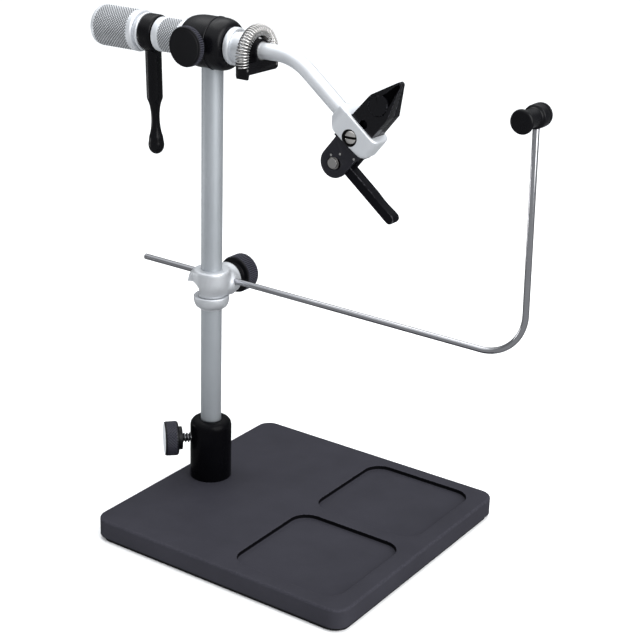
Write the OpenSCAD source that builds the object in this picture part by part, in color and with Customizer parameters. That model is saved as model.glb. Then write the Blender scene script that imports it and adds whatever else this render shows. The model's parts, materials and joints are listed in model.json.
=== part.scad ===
// Full rotary fly tying vise on a pedestal base, in millimetres.
// The post axis is Z, the rotary shaft runs along X towards the jaws, and z = 0 is the table.

/* [Base] */
// Length of the base plate along the rotary shaft
base_w = 155.4; // [120:0.1:200]
// Depth of the base plate across the rotary shaft
base_d = 152.4; // [140:0.1:200]
// Thickness of the steel plate
base_t = 10; // [8:0.1:16]
// Radius of the plate's upright corners
base_corner_r = 8; // [4:0.5:14]
// Radius of the plate's top edge
base_edge_r = 1.2; // [0.6:0.1:3]
// Thickness of the rubber pad under the plate
pad_t = 2.4; // [1:0.1:5]
// How far the pad stays inside the plate's outline
pad_inset = 1.5; // [0.5:0.1:5]
// Distance from the rear edge of the plate to the post axis
post_setback = 17.4; // [14:0.1:30]
// Length of each tray along the shaft
tray_w = 63.1; // [30:0.1:70]
// Depth of each tray across the shaft
tray_d = 63.5; // [30:0.1:64]
// How deep each tray is sunk
tray_depth = 2.6; // [1:0.1:4]
// Corner radius of each tray
tray_corner_r = 10; // [5:0.5:14]
// Land between the two trays
tray_gap = 8.6; // [6:0.1:12]
// Land between the trays and the front edge of the plate
tray_margin = 9.7; // [6:0.1:14]

/* [Post socket] */
// Outer radius of the socket
socket_r = 11.3; // [10:0.1:13]
// Height of the socket above the plate
socket_h = 34.4; // [30:0.1:50]
// Rounding of the socket's top edge
socket_edge_r = 4; // [1:0.1:5]
// Solid floor of the socket under the post
socket_floor = 9; // [7:0.1:12]
// Shank radius of the bolt that holds the socket to the plate
bolt_r = 4; // [3:0.1:5]
// Head radius of that bolt
bolt_head_r = 6.5; // [5.5:0.1:8]
// Head height of that bolt
bolt_head_h = 5; // [3:0.1:6]
// Distance from the socket's top down to the thumb screw
clamp_drop = 11.5; // [10:0.1:14]
// Direction of the thumb screw around the post, in degrees
clamp_angle = 225; // [180:1:270]
// Thread radius of the thumb screw
clamp_stud_r = 2.75; // [2:0.05:3.5]
// Thread left bare between the socket and the knob
clamp_bare = 5; // [3:0.1:9]
// Radius of the thumb knob
clamp_knob_r = 9; // [8:0.1:12]
// Width of the thumb knob's rim
clamp_rim_t = 6.5; // [4:0.1:9]
// Radius of the boss behind the rim
clamp_boss_r = 6.4; // [5:0.1:7]
// Length of that boss
clamp_boss_t = 2.3; // [1:0.1:4]
// Width of the black rim left around the bright disc in the knob's face
clamp_cap_rim = 0.8; // [0.8:0.1:3]
// Thickness of that disc
clamp_cap_t = 1; // [0.5:0.1:2]

/* [Post] */
// Diameter of the post
post_d = 11.1; // [10:0.1:12]
// Height of the rotary shaft's axis above the table
shaft_z = 252.2; // [225:0.1:300]
// Height of the stop collar's lower end
collar_z = 110.9; // [80:0.1:125]
// Height of the stop collar
collar_h = 7.5; // [6:0.1:10]
// Outer radius of the stop collar
collar_r = 9.4; // [8.5:0.1:12]
// Radius of the collar's upper and lower faces
collar_face_r = 7.4; // [7:0.1:8]
// Radius of the lip under the collar
collar_lip_r = 6.5; // [6.2:0.1:6.9]

/* [Bobbin cradle] */
// Height of the bracket's ring
ring_h = 13; // [11:0.1:16]
// Outer radius of the bracket's ring
ring_r = 9.3; // [8.5:0.1:11]
// Radius of the bracket's foot, where it sits on the collar
ring_foot_r = 7.4; // [7:0.1:8.3]
// Radius of the clamping boss
boss_r = 8.4; // [7.5:0.1:10]
// Distance from the post axis to the end of the boss
boss_len = 15; // [12:0.1:18]
// Height of the boss axis above the bracket's foot
boss_rise = 5.4; // [5:0.1:7]
// Distance from the post axis to the tip of the horn
horn_reach = 12.2; // [11.5:0.1:13.5]
// Width of the horn
horn_w = 9.4; // [6:0.1:12]
// Radius of the half-round notch under the horn
notch_r = 4.3; // [3:0.1:4.4]
// Direction of the horn around the post, in degrees
horn_angle = 214; // [200:1:240]
// Radius of the clamp knob on the bracket
bracket_knob_r = 10; // [8:0.1:12]
// Width of that knob
bracket_knob_t = 9.2; // [6:0.1:11]
// Bare gap bridged by the knob's neck
bracket_neck_t = 4.4; // [3:0.1:9]
// Radius of the knob's neck
bracket_neck_r = 6.6; // [4:0.1:7.2]
// Thread radius of the bracket's clamp screw
bracket_stud_r = 2.5; // [2:0.05:3]
// Radius of the cradle rod
rod_r = 1.6; // [1:0.05:2]
// Height of the rod above the bracket's foot at the post
rod_rise = 7.5; // [6:0.1:8.5]
// Downward slope of the rod, in degrees
rod_slope = 0.45; // [0:0.05:1]
// Length of rod behind the post
rod_back = 52; // [30:0.5:80]
// Straight length of rod from the post to the start of the bend
rod_front = 157.5; // [140:0.5:200]
// Centre line radius of the rod's bend
rod_bend_r = 22; // [10:0.5:30]
// Turn of the rod's bend, in degrees
rod_bend_angle = 92.2; // [88:0.1:95]
// Straight rise of the rod above its bend
rod_up = 91.7; // [60:0.1:110]
// Outer radius of the spool's flanges
spool_r = 5.7; // [4.5:0.1:8]
// Radius of the spool's waist
spool_waist_r = 4.3; // [3.5:0.1:4.4]
// Length of the spool
spool_len = 21; // [18:0.1:28]
// Width of the collar that the rod enters
spool_collar_t = 5; // [4:0.1:6]

/* [Head housing] */
// Outer radius of the housing
housing_r = 13.1; // [12.8:0.1:15]
// Rear end of the housing, behind the post axis
housing_back = 14; // [13:0.1:18]
// Front end of the housing, ahead of the post axis
housing_front = 12.6; // [12:0.1:16]
// Radius of the openings at both ends
housing_mouth_r = 9.8; // [8.5:0.1:11]
// Place of the seam between body and front cap
seam_x = 4; // [3.5:0.1:5]
// Height of the bead at the seam
seam_bead = 0.4; // [0.2:0.05:0.6]
// Width of the bead at the seam
seam_bead_w = 1; // [0.6:0.1:1.4]
// Radius of the spigot that carries the front cap
spigot_r = 9; // [8.6:0.1:9.4]
// Outer radius of the shaft bushes
bush_r = 6.5; // [6:0.1:7]
// Length of each shaft bush
bush_len = 6; // [4:0.1:6.5]
// Radius of the brake knob
brake_knob_r = 10; // [8:0.1:12]
// Width of the brake knob's rim
brake_rim_t = 3.8; // [3:0.1:6]
// Distance from the shaft axis to the brake knob's face
brake_face = 22.5; // [21:0.1:28]
// Height of the brake screw above the shaft axis
brake_rise = 0.8; // [0:0.1:1]
// Thread radius of the brake screw
brake_stud_r = 2.5; // [2:0.05:3]
// Length of the nylon pad between brake screw and shaft
brake_pad_t = 2; // [1:0.1:3]

/* [Rotary shaft] */
// Radius of the rotary shaft
shaft_r = 5; // [4.5:0.05:5.5]
// Radius of the shaft's threaded rear end
shaft_tail_r = 4; // [3:0.05:4.2]
// Radius of the shaft's nose, which carries the material clip
shaft_nose_r = 4.6; // [4.5:0.05:4.7]
// Front end of the shaft, ahead of the post axis
shaft_front = 31; // [28:0.1:36]
// Radius of the front flange
front_flange_r = 9.4; // [8.5:0.1:9.8]
// Width of the front flange
front_flange_t = 3.3; // [2:0.1:5]
// Radius of the neck ahead of the front flange
front_neck_r = 8; // [6.5:0.1:8.4]
// Radius of the rear flange
rear_flange_r = 10; // [9:0.1:11]
// Width of the rear flange
rear_flange_t = 2.7; // [2:0.1:4]
// Radius of the knurled sleeve
sleeve_r = 8.8; // [8:0.1:10]
// Length of the knurled sleeve
sleeve_len = 16.4; // [12:0.1:20]
// Length of the sleeve's plain rim
sleeve_rim = 4; // [2:0.1:5]

/* [Crank and drum] */
// Radius of the crank's hub
hub_r = 9.5; // [8.5:0.1:11]
// Width of the crank's hub
hub_t = 7.9; // [6:0.1:10]
// Distance from the shaft axis to the end of the handle
handle_reach = 64.2; // [50:0.1:75]
// Radius of the handle's upper part
handle_r = 3.9; // [3.2:0.1:4.2]
// Radius of the handle's waist
handle_waist_r = 2.2; // [1.8:0.1:2.5]
// Lean of the handle away from the plumb line, in degrees
handle_lean = 2; // [0:0.5:10]
// Radius of the locking drum
drum_r = 10.7; // [9:0.1:13]
// Length of the locking drum
drum_len = 28.3; // [24:0.1:40]
// Rounding of the drum's rear edge
drum_edge_r = 2.4; // [1:0.1:4]
// Length of the drum's plain front rim
drum_rim = 2.8; // [2:0.1:6]
// Length of the neck ahead of the drum
drum_neck_t = 2; // [1:0.1:3]
// Radius of that neck
drum_neck_r = 8.6; // [7:0.1:9]
// Radius of the thin collar between drum and crank
drum_collar_r = 9.9; // [9:0.1:11]
// Width of that collar
drum_collar_t = 1.2; // [0.8:0.1:2]

/* [Material clip] */
// Width of the clip along the shaft
clip_t = 6.4; // [5:0.1:6.6]
// Radius of the clip's hub
clip_hub_r = 5.6; // [5.3:0.1:5.7]
// Half length of the clip's bar across the shaft
clip_half = 13.1; // [13:0.1:16]
// Drop from the shaft axis to the top of the clip's bar
clip_bar_top = 5; // [4:0.1:6]
// Height of the clip's bar
clip_bar_h = 6.2; // [5:0.1:8]
// Extra drop of the clip's leg
clip_leg_drop = 1.6; // [1:0.1:4]
// Width of the clip's leg
clip_leg_w = 2.6; // [2:0.1:9]
// Centre line radius of the spring's arch
arch_r = 12; // [11.9:0.1:12.2]
// Drop from the shaft axis to the centre of the spring's arch
arch_drop = 2.6; // [2:0.1:2.6]
// Mean radius of the spring's coil
coil_r = 3; // [2.5:0.05:3]
// Radius of the spring's wire
coil_wire_r = 0.45; // [0.3:0.01:0.45]
// Number of turns in the spring
coil_turns = 22; // [12:1:23]

/* [Jaw arm] */
// Radius of the arm
arm_r = 4; // [3:0.05:4.1]
// Length of arm held inside the shaft
arm_held = 18; // [10:0.5:22]
// Straight length of arm ahead of the shaft's end
arm_lead = 9; // [7:0.1:16]
// Centre line radius of the arm's bend
arm_bend_r = 30; // [20:0.5:40]
// Downward angle of the arm, in degrees
arm_angle = 38.5; // [30:0.5:45]
// Straight length from the bend to the block's screw
arm_run = 38.9; // [34:0.1:50]

/* [Jaw block] */
// Half thickness of the block
block_half = 7; // [6.7:0.1:9]
// Length of the block behind its screw
block_back = 14.5; // [13:0.1:18]
// Length of the block ahead of its screw
block_ahead = 11.5; // [11:0.1:14]
// Depth of the block below its screw
block_below = 4.2; // [4:0.1:6]
// Height of the block above its screw
block_above = 8; // [7.6:0.1:9]
// Offset of the arm's axis above the block's screw
arm_offset = 2.5; // [1.5:0.1:3.5]
// Depth of the mouth that holds the jaws
mouth_depth = 4.3; // [3.5:0.1:4.4]
// Radius of the block's slotted screw
screw_r = 3.5; // [3:0.1:3.6]
// Height of that screw's head
screw_head_t = 1.6; // [1:0.1:2]
// Width of that screw's slot
screw_slot_w = 1; // [0.6:0.05:1.4]

/* [Jaws] */
// Width of the jaws
jaw_w = 15.2; // [12:0.1:15.6]
// Half thickness of the closed pair
jaw_half = 5.5; // [4.5:0.1:5.6]
// Straight length of the jaws above the block
jaw_straight = 13.2; // [11:0.1:18]
// Length of the jaws' taper to the tip
jaw_taper = 15.3; // [12:0.1:22]
// Half width of the tip
tip_half = 1.3; // [0.8:0.1:2]
// Half thickness of the tip
tip_thick = 1.5; // [1:0.1:2.5]
// Gap between the closed jaws
jaw_gap = 0.2; // [0.1:0.05:0.3]
// Radius of the round seat in each jaw's face
seat_r = 5.5; // [4:0.1:5.8]
// Depth of that seat
seat_depth = 0.5; // [0.3:0.1:1]
// Radius of the pin hole in each jaw
jaw_hole_r = 2.2; // [2:0.1:2.6]
// Radius of the pin that ties the jaws to the draw bar
jaw_pin_r = 1.2; // [0.9:0.05:1.4]

/* [Cam lever] */
// Thickness of each clevis cheek
cheek_t = 2; // [1.5:0.1:3]
// Width of the cheeks
cheek_w = 15.2; // [14:0.1:16]
// Drop from the clevis's flange to the cam pin
pin_drop = 11.6; // [10.5:0.1:14]
// Radius of the cam pin
cam_pin_r = 3.1; // [2:0.05:3.15]
// Thickness of the clevis's flange
flange_t = 2; // [1.5:0.1:3]
// Width of the lever across the jaws
lever_w = 5.8; // [5.6:0.1:8]
// Height of the lever's bar
lever_h = 5; // [4:0.1:6]
// Distance from the cam pin to the end of the lever
lever_len = 41.2; // [30:0.1:60]
// Throw of the lever's eccentric
cam_throw = 0.5; // [0.2:0.05:0.6]
// Radius of the lever's eccentric
cam_r = 4.3; // [4.2:0.05:4.6]
// Radius of the draw bar
draw_r = 2; // [1.6:0.05:2.3]

/* [Fits] */
// Radial clearance of every shaft, thread and bore
fit = 0.05; // [0.02:0.01:0.08]
// Gap between faces that move past each other
run_gap = 0.3; // [0.3:0.05:0.5]
// Gap between fixed pieces laid face to face
lay_gap = 0.05; // [0.02:0.01:0.1]

/* [Hidden] */
$fn = 64;
// Overrun of every cut
over = 1;
// Colours
steel_dark = [0.17, 0.17, 0.19];
black_satin = [0.09, 0.09, 0.10];
silver = [0.80, 0.82, 0.85];
post_grey = [0.62, 0.64, 0.67];
bright = [0.86, 0.86, 0.88];
rubber_black = [0.06, 0.06, 0.06];
bronze = [0.66, 0.48, 0.26];
nylon = [0.90, 0.89, 0.84];

// Base and socket
base_top = pad_t + base_t;
base_x0 = -post_setback;
base_x1 = base_w - post_setback;
tray_x = base_x1 - tray_margin - tray_w / 2;
tray_y = (tray_gap + tray_d) / 2;
socket_top = base_top + socket_h;
socket_bottom = base_top + lay_gap;
bore_floor = base_top + socket_floor;
post_r = post_d / 2;
bolt_z = pad_t + run_gap;
bolt_end = bore_floor - run_gap * 2;
clamp_z = socket_top - clamp_drop;
clamp_rim_x = socket_r + clamp_bare + clamp_boss_t;
clamp_face_x = clamp_rim_x + clamp_rim_t;
clamp_cap_r = clamp_knob_r - clamp_cap_rim;
knob_edge_share = 0.05;
grub_r = 1.5;
grub_len = 2.6;

// Post and collar
post_bottom = bore_floor + run_gap;
post_cover = 2.7;
post_top = shaft_z - shaft_r - post_cover;
post_chamfer = 0.6;
collar_top = collar_z + collar_h;
collar_chamfer = collar_r - collar_face_r;
collar_lip_h = collar_h * 0.13;

// Shares of a bent bar's radius: lap past each end of the bend, core across its start, run beyond it
bend_lap_share = 0.5;
bend_core_share = 0.5;
bend_run_share = 0.98;

// Cradle
foot_z = collar_top + run_gap;
ring_top = foot_z + ring_h;
boss_z = foot_z + boss_rise;
rod_z = foot_z + rod_rise;
rod_y = post_r + run_gap + fit + rod_r;
notch_wall = 0.4;
notch_x = post_r + fit + notch_wall + notch_r;
notch_z = foot_z + notch_r * 1.25;
horn_z = foot_z + ring_h * 0.3;
bracket_knob_y = boss_len + run_gap + bracket_neck_t;
spool_flange_t = spool_len * 0.11;
spool_far_t = spool_len * 0.095;
spool_groove_t = spool_len * 0.038;
spool_sink = spool_r * 0.6;

// Housing
spigot_len = (housing_front - seam_x) * 0.5;
bush_front_x = housing_front - bush_len - lay_gap;
bush_rear_x = -housing_back + lay_gap;
brake_z = shaft_z + brake_rise;
brake_pad_y = shaft_r + run_gap;
brake_boss_r = brake_knob_r * 0.62;
housing_set_z = post_top - grub_r - post_chamfer;
bulge_points = 8;

// Shaft
rear_flange_x1 = -housing_back - run_gap;
rear_flange_x0 = rear_flange_x1 - rear_flange_t;
sleeve_x1 = rear_flange_x0 - lay_gap;
sleeve_x0 = sleeve_x1 - sleeve_len;
hub_x1 = sleeve_x0 - run_gap;
hub_x0 = hub_x1 - hub_t;
drum_collar_x1 = hub_x0 - run_gap;
drum_collar_x0 = drum_collar_x1 - drum_collar_t;
drum_neck_x1 = drum_collar_x0 - lay_gap;
drum_x1 = drum_neck_x1 - drum_neck_t;
drum_x0 = drum_x1 - drum_len;
drum_cap_t = drum_edge_r;
front_flange_x0 = housing_front + run_gap;
front_flange_x1 = front_flange_x0 + front_flange_t;
clip_x1 = shaft_front - lay_gap;
clip_x0 = clip_x1 - clip_t;
clip_x = (clip_x0 + clip_x1) / 2;
front_neck_x1 = clip_x0 - run_gap;
knurl_step = 0.2;

// Spring
wire_sides = 6;
rings_per_turn = 8;
arch_z = shaft_z - arch_drop;
spring_foot_z = shaft_z - clip_bar_top + run_gap;
anchor_r = 0.7;

// Arm
arm_x0 = shaft_front - arm_held;
bend_x = shaft_front + arm_lead;
bend_end_x = bend_x + arm_bend_r * sin(arm_angle);
bend_end_z = shaft_z - arm_bend_r * (1 - cos(arm_angle));
block_x = bend_end_x + arm_run * cos(arm_angle) - arm_offset * sin(arm_angle);
block_z = bend_end_z - arm_run * sin(arm_angle) - arm_offset * cos(arm_angle);
arm_socket = block_back * 0.35;

// Jaws and cam, in the block's own frame: x along the arm, z towards the tip
jaw_x = 0.6;
hole_x = 0.7;
mouth_floor = block_above - mouth_depth;
jaw_bottom = mouth_floor + run_gap;
jaw_shoulder = block_above + jaw_straight;
jaw_tip = jaw_shoulder + jaw_taper;
seat_z = block_above + jaw_straight;
hole_z = block_above + jaw_hole_r * 0.75;
tail_relief = 0.2;
tongue_half = 1;
tongue_w = 3.6;
tongue_top = hole_z + jaw_pin_r * 2.1;
flange_top = -block_below - lay_gap;
flange_bottom = flange_top - flange_t;
pin_x = 1.1;
pin_z = flange_bottom - pin_drop;
cheek_x = 1.35;
cheek_end_r = cheek_w / 2;
cheek_z = pin_z + block_below * 0.2;
cheek_in = lever_w / 2 + run_gap;
cheek_out = cheek_in + cheek_t;
lever_hub_r = cam_pin_r + 2.25;
slot_half = 1.5;
eye_r = cam_r + cam_throw + run_gap;
eye_wall = 1.1;
eye_slot_r = eye_r + eye_wall + run_gap + cam_throw;
lever_low = pin_z - lever_h * 0.07;
lever_top = max(pin_z + lever_hub_r, lever_low + lever_h);
spring_pocket_z = block_above + jaw_straight * 0.58;
jaw_spring_r = 1.5;
jaw_spring_half = 2;
rivet_r = 0.6;
rivet_places = [
    [pin_x, pin_z + cam_pin_r * 2.2], [pin_x - cam_pin_r * 1.05, pin_z + cam_pin_r * 0.85],
    [cheek_x + cheek_end_r * 0.88, flange_bottom - flange_t * 0.4]
];

// Points along an arc about [cx, cy] from angle a0 to a1
function arc(cx, cy, rx, ry, a0, a1, n) =
    [for (i = [0:n]) let (a = a0 + (a1 - a0) * i / n) [cx + rx * cos(a), cy + ry * sin(a)]];

// Turned piece about the X axis, from [radius, x] points
module turned_x(points) {
    translate([0, 0, shaft_z]) rotate([0, 90, 0]) rotate_extrude() polygon(points);
}

// Cylinder about the X axis through the shaft's centre line
module rod_x(x0, x1, r) {
    translate([x0, 0, shaft_z]) rotate([0, 90, 0]) cylinder(r = r, h = x1 - x0);
}

// Children moved so that local +Z points along +Y
module along_y() {
    rotate([-90, 0, 0]) children();
}

// Children moved so that local +Z points along -Y
module along_minus_y() {
    rotate([90, 0, 0]) children();
}

// Cylinder across Y, centred on the origin
module across_y(r, w) {
    along_y() cylinder(r = r, h = w, center = true);
}

// Children moved so that local +Z points along +X
module along_x() {
    rotate([0, 90, 0]) children();
}

// Flat shape with rounded corners
module rounded_rect(w, d, r) {
    square([w - 2 * r, d], center = true);
    square([w, d - 2 * r], center = true);
    for (sx = [-1, 1], sy = [-1, 1]) translate([sx * (w / 2 - r), sy * (d / 2 - r)]) circle(r = r);
}

// Plate with rounded corners and a rounded top edge
module rounded_plate(w, d, t, r, edge) {
    side = arc(0, t - edge, edge, edge, 0, 90, 4);
    for (sx = [-1, 1], sy = [-1, 1]) translate([sx * (w / 2 - r), sy * (d / 2 - r), 0])
        rotate_extrude() polygon(concat([[0, 0], [r, 0]], [for (p = side) p + [r - edge, 0]], [[0, t]]));
    for (turn = [0, 1]) {
        span = turn == 0 ? w : d;
        run = turn == 0 ? d - 2 * r : w - 2 * r;
        rotate([90, 0, 90 * turn]) linear_extrude(run, center = true) polygon(concat(
            [[-span / 2, 0], [span / 2, 0]], [for (p = side) p + [span / 2 - edge, 0]],
            [for (i = [len(side) - 1:-1:0]) [edge - span / 2 - side[i][0], side[i][1]]]));
    }
}

// Children moved so that local +Z runs out along the thumb screw
module on_clamp_axis() {
    translate([0, 0, clamp_z]) rotate([0, 0, clamp_angle]) along_x() children();
}

// Steel plate with two trays
module base_plate() {
    color(steel_dark) difference() {
        translate([(base_x0 + base_x1) / 2, 0, pad_t])
            rounded_plate(base_w, base_d, base_t, base_corner_r, base_edge_r);
        for (s = [-1, 1]) translate([tray_x, s * tray_y, base_top - tray_depth])
            linear_extrude(tray_depth + over) rounded_rect(tray_w, tray_d, tray_corner_r);
        translate([0, 0, pad_t - over]) cylinder(r = bolt_head_r + fit, h = bolt_head_h + run_gap + over);
        translate([0, 0, pad_t]) cylinder(r = bolt_r + fit, h = base_t + over);
    }
}

// Rubber pad under the plate
module base_pad() {
    color(rubber_black) translate([(base_x0 + base_x1) / 2, 0, 0]) linear_extrude(pad_t - lay_gap)
        rounded_rect(base_w - 2 * pad_inset, base_d - 2 * pad_inset, base_corner_r);
}

// Socket that receives the post
module post_socket() {
    color(black_satin) difference() {
        translate([0, 0, socket_bottom]) rotate_extrude() polygon(concat(
            [[0, 0], [socket_r, 0]],
            arc(socket_r - socket_edge_r, socket_h - lay_gap - socket_edge_r,
                socket_edge_r, socket_edge_r, 0, 90, bulge_points),
            [[0, socket_h - lay_gap]]));
        translate([0, 0, bore_floor]) cylinder(r = post_r + fit, h = socket_h + over);
        translate([0, 0, base_top - over])
            cylinder(r = bolt_r + fit, h = bolt_end - base_top + over + fit);
        on_clamp_axis() cylinder(r = clamp_stud_r + fit, h = socket_r + over);
    }
}

// Cap screw that holds the socket down
module socket_bolt() {
    color(steel_dark) translate([0, 0, bolt_z]) {
        cylinder(r = bolt_head_r, h = bolt_head_h - lay_gap);
        cylinder(r = bolt_r, h = bolt_end - bolt_z);
    }
}

// Thread of the thumb screw
module clamp_stud() {
    color(bright) on_clamp_axis() translate([0, 0, post_r + run_gap])
        cylinder(r = clamp_stud_r, h = clamp_rim_x + clamp_rim_t / 2 - post_r - run_gap);
}

// Knob with a boss at its back and a dish in its face, about local Z with its rim from z0 to z1
module dished_knob(r, boss_radius, boss_z0, z0, z1, dish_r, dish_t) {
    edge = r * knob_edge_share;
    rotate_extrude() polygon([
        [0, boss_z0], [boss_radius, boss_z0], [boss_radius, z0], [r - edge, z0], [r, z0 + edge],
        [r, z1 - edge], [r - edge, z1], [dish_r, z1], [dish_r, z1 - dish_t], [0, z1 - dish_t]
    ]);
}

// Thumb knob on the socket
module clamp_knob() {
    color(black_satin) on_clamp_axis() difference() {
        dished_knob(clamp_knob_r, clamp_boss_r, clamp_rim_x - clamp_boss_t, clamp_rim_x, clamp_face_x,
            clamp_cap_r + fit, clamp_cap_t);
        cylinder(r = clamp_stud_r + fit, h = clamp_rim_x + clamp_rim_t / 2 + lay_gap);
    }
}

// Bright disc let into the thumb knob
module clamp_knob_cap() {
    color(bright) on_clamp_axis() translate([0, 0, clamp_face_x - clamp_cap_t + lay_gap])
        cylinder(r = clamp_cap_r, h = clamp_cap_t - 2 * lay_gap);
}

// Round post
module post() {
    color(post_grey) rotate_extrude() polygon([
        [0, post_bottom], [post_r - post_chamfer, post_bottom], [post_r, post_bottom + post_chamfer],
        [post_r, post_top - post_chamfer], [post_r - post_chamfer, post_top], [0, post_top]
    ]);
}

// Stop collar that carries the cradle
module stop_collar() {
    color(silver) difference() {
        rotate_extrude() polygon([
            [post_r + fit, collar_z], [collar_lip_r, collar_z], [collar_lip_r, collar_z + collar_lip_h],
            [collar_face_r, collar_z + collar_lip_h],
            [collar_r, collar_z + collar_lip_h + collar_chamfer],
            [collar_r, collar_top - collar_chamfer * 0.9], [collar_face_r, collar_top],
            [post_r + fit, collar_top]
        ]);
        translate([0, 0, collar_top - collar_h / 2]) along_y()
            cylinder(r = grub_r + fit, h = collar_r + over);
    }
}

// Grub screw in the collar
module collar_set_screw() {
    color(steel_dark) translate([0, post_r + run_gap, collar_top - collar_h / 2])
        along_y() cylinder(r = grub_r, h = grub_len);
}

// Children placed on the cradle rod's own axis, local +X along the rod
module on_rod() {
    translate([0, rod_y, rod_z]) rotate([0, rod_slope, 0]) children();
}

// Cast bracket: ring on the post, boss for the clamp, horn over a half-round notch
module cradle_bracket() {
    edge = ring_h * 0.17;
    boss_start = post_r * 0.4;
    color(silver) difference() {
        union() {
            rotate_extrude() polygon(concat(
                [[0, foot_z], [ring_foot_r, foot_z], [ring_r, foot_z + ring_h * 0.45]],
                arc(ring_r - edge, ring_top - edge, edge, edge, 0, 90, bulge_points),
                [[0, ring_top]]));
            translate([0, boss_start, boss_z]) along_y() cylinder(r = boss_r, h = boss_len - boss_start);
            rotate([0, 0, horn_angle]) translate([0, -horn_w / 2, horn_z])
                cube([horn_reach, horn_w, ring_top - edge / 2 - horn_z]);
        }
        translate([0, 0, foot_z - boss_r]) cylinder(r = 2 * boss_len, h = boss_r);
        translate([0, 0, foot_z - over]) cylinder(r = post_r + fit, h = boss_r * 4);
        rotate([0, 0, horn_angle]) translate([notch_x, 0, notch_z]) {
            along_y() cylinder(r = notch_r, h = 2 * horn_w, center = true);
            translate([-notch_r, -horn_w, -ring_h]) cube([horn_reach, 2 * horn_w, ring_h]);
        }
        on_rod() translate([-horn_reach * 2, 0, 0]) along_x()
            cylinder(r = rod_r + fit, h = horn_reach * 4);
        translate([0, rod_y, boss_z]) along_y() cylinder(r = bracket_stud_r + fit, h = boss_len + over);
    }
}

// Clamp screw of the bracket
module bracket_stud() {
    stud_y = rod_y + rod_r + run_gap;
    color(bright) translate([0, stud_y, boss_z])
        along_y() cylinder(r = bracket_stud_r, h = bracket_knob_y + bracket_knob_t / 2 - stud_y);
}

// Knob of the bracket's clamp
module bracket_knob() {
    color(black_satin) translate([0, 0, boss_z]) along_y() difference() {
        dished_knob(bracket_knob_r, bracket_neck_r, boss_len + run_gap, bracket_knob_y,
            bracket_knob_y + bracket_knob_t, bracket_neck_r, bracket_knob_t * 0.1);
        cylinder(r = bracket_stud_r + fit, h = bracket_knob_y + bracket_knob_t / 2 + lay_gap);
    }
}

// Round bar that leads along +X, bends towards +Z and runs on a touch slimmer
module bent_bar(r, lead, bend_r, angle, run) {
    lap = r * bend_lap_share;
    translate([lead, 0, bend_r]) along_minus_y() {
        translate([0, -bend_r, 0]) rotate([0, -90, 0]) cylinder(r = r, h = lead);
        translate([lap, -bend_r, 0]) rotate([0, -90, 0]) cylinder(r = r * bend_core_share, h = 2 * lap);
        rotate([0, 0, -90]) rotate_extrude(angle = angle) translate([bend_r, 0]) circle(r = r);
        rotate([0, 0, angle]) translate([-lap, -bend_r, 0]) along_x()
            cylinder(r = r * bend_run_share, h = run + lap);
    }
}

// Polished rod with one bend
module cradle_rod() {
    color(bright) on_rod() translate([-rod_back, 0, 0])
        bent_bar(rod_r, rod_back + rod_front, rod_bend_r, rod_bend_angle, rod_up);
}

// Children placed at the top of the bend, local +Z up the rod's upright
module on_rod_upright() {
    translate([rod_front + rod_bend_r * sin(rod_bend_angle), 0, rod_bend_r * (1 - cos(rod_bend_angle))])
        rotate([0, 90 - rod_bend_angle, 0]) children();
}

// Children placed at the spool's centre on its own axis, local +Z along +Y from the rod's collar
module on_spool() {
    on_rod() on_rod_upright() translate([0, 0, rod_up + spool_r - spool_sink]) along_y() children();
}

// Spool that the bobbin rests on
module cradle_spool() {
    far = spool_collar_t / 2 + spool_groove_t + spool_far_t;
    near = far - spool_len;
    round_r = spool_flange_t / 2;
    color(black_satin) difference() {
        on_spool() rotate_extrude() polygon(concat(
            [[0, near]],
            arc(spool_r - round_r, near + round_r, round_r, round_r, -90, 90, bulge_points),
            arc(spool_waist_r + round_r, near + spool_flange_t + round_r, round_r, round_r, 270, 180, 3),
            [[spool_waist_r, -spool_collar_t / 2 - round_r], [spool_r - round_r, -spool_collar_t / 2]],
            [[spool_r, -spool_collar_t / 2 + round_r], [spool_r, spool_collar_t / 2 - round_r]],
            [[spool_waist_r + round_r, spool_collar_t / 2], [spool_waist_r + round_r, spool_collar_t / 2
                + spool_groove_t]],
            arc(spool_r - round_r, far - round_r, round_r, round_r, -90, 90, bulge_points),
            [[0, far]]));
        on_rod() on_rod_upright() cylinder(r = rod_r + fit, h = rod_up + lay_gap);
        on_spool() along_x() cylinder(r = grub_r + fit, h = spool_r + over);
    }
}

// Grub screw that holds the spool on the rod
module spool_set_screw() {
    color(steel_dark) on_spool() along_x() translate([0, 0, rod_r + run_gap])
        cylinder(r = grub_r, h = spool_r - rod_r - 2 * run_gap);
}

// Housing body behind the seam, with the bores for post, shaft, bush and brake
module housing_body() {
    tail_len = housing_back * 0.72;
    color(black_satin) difference() {
        turned_x(concat(
            [[0, -housing_back], [housing_mouth_r, -housing_back]],
            arc(housing_mouth_r, tail_len - housing_back, housing_r - housing_mouth_r, tail_len, -80, 0,
                bulge_points),
            [[housing_r, seam_x - seam_bead_w], [housing_r + seam_bead, seam_x - seam_bead_w / 2],
             [housing_r, seam_x], [spigot_r, seam_x], [spigot_r, seam_x + spigot_len],
             [0, seam_x + spigot_len]]
        ));
        rod_x(-housing_back - over, housing_front, shaft_r + run_gap);
        rod_x(-housing_back - over, bush_rear_x + bush_len + lay_gap, bush_r + fit);
        rod_x(bush_front_x - lay_gap, housing_front, bush_r + fit);
        post_bore();
        translate([0, 0, brake_z]) along_minus_y() cylinder(r = brake_stud_r + fit, h = housing_r + over);
        translate([0, 0, housing_set_z]) along_y() cylinder(r = grub_r + fit, h = housing_r + over);
    }
}

// Bore for the top of the post
module post_bore() {
    translate([0, 0, shaft_z - housing_r * 2]) cylinder(r = post_r + fit, h = post_top + run_gap
        - shaft_z + housing_r * 2);
}

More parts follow.
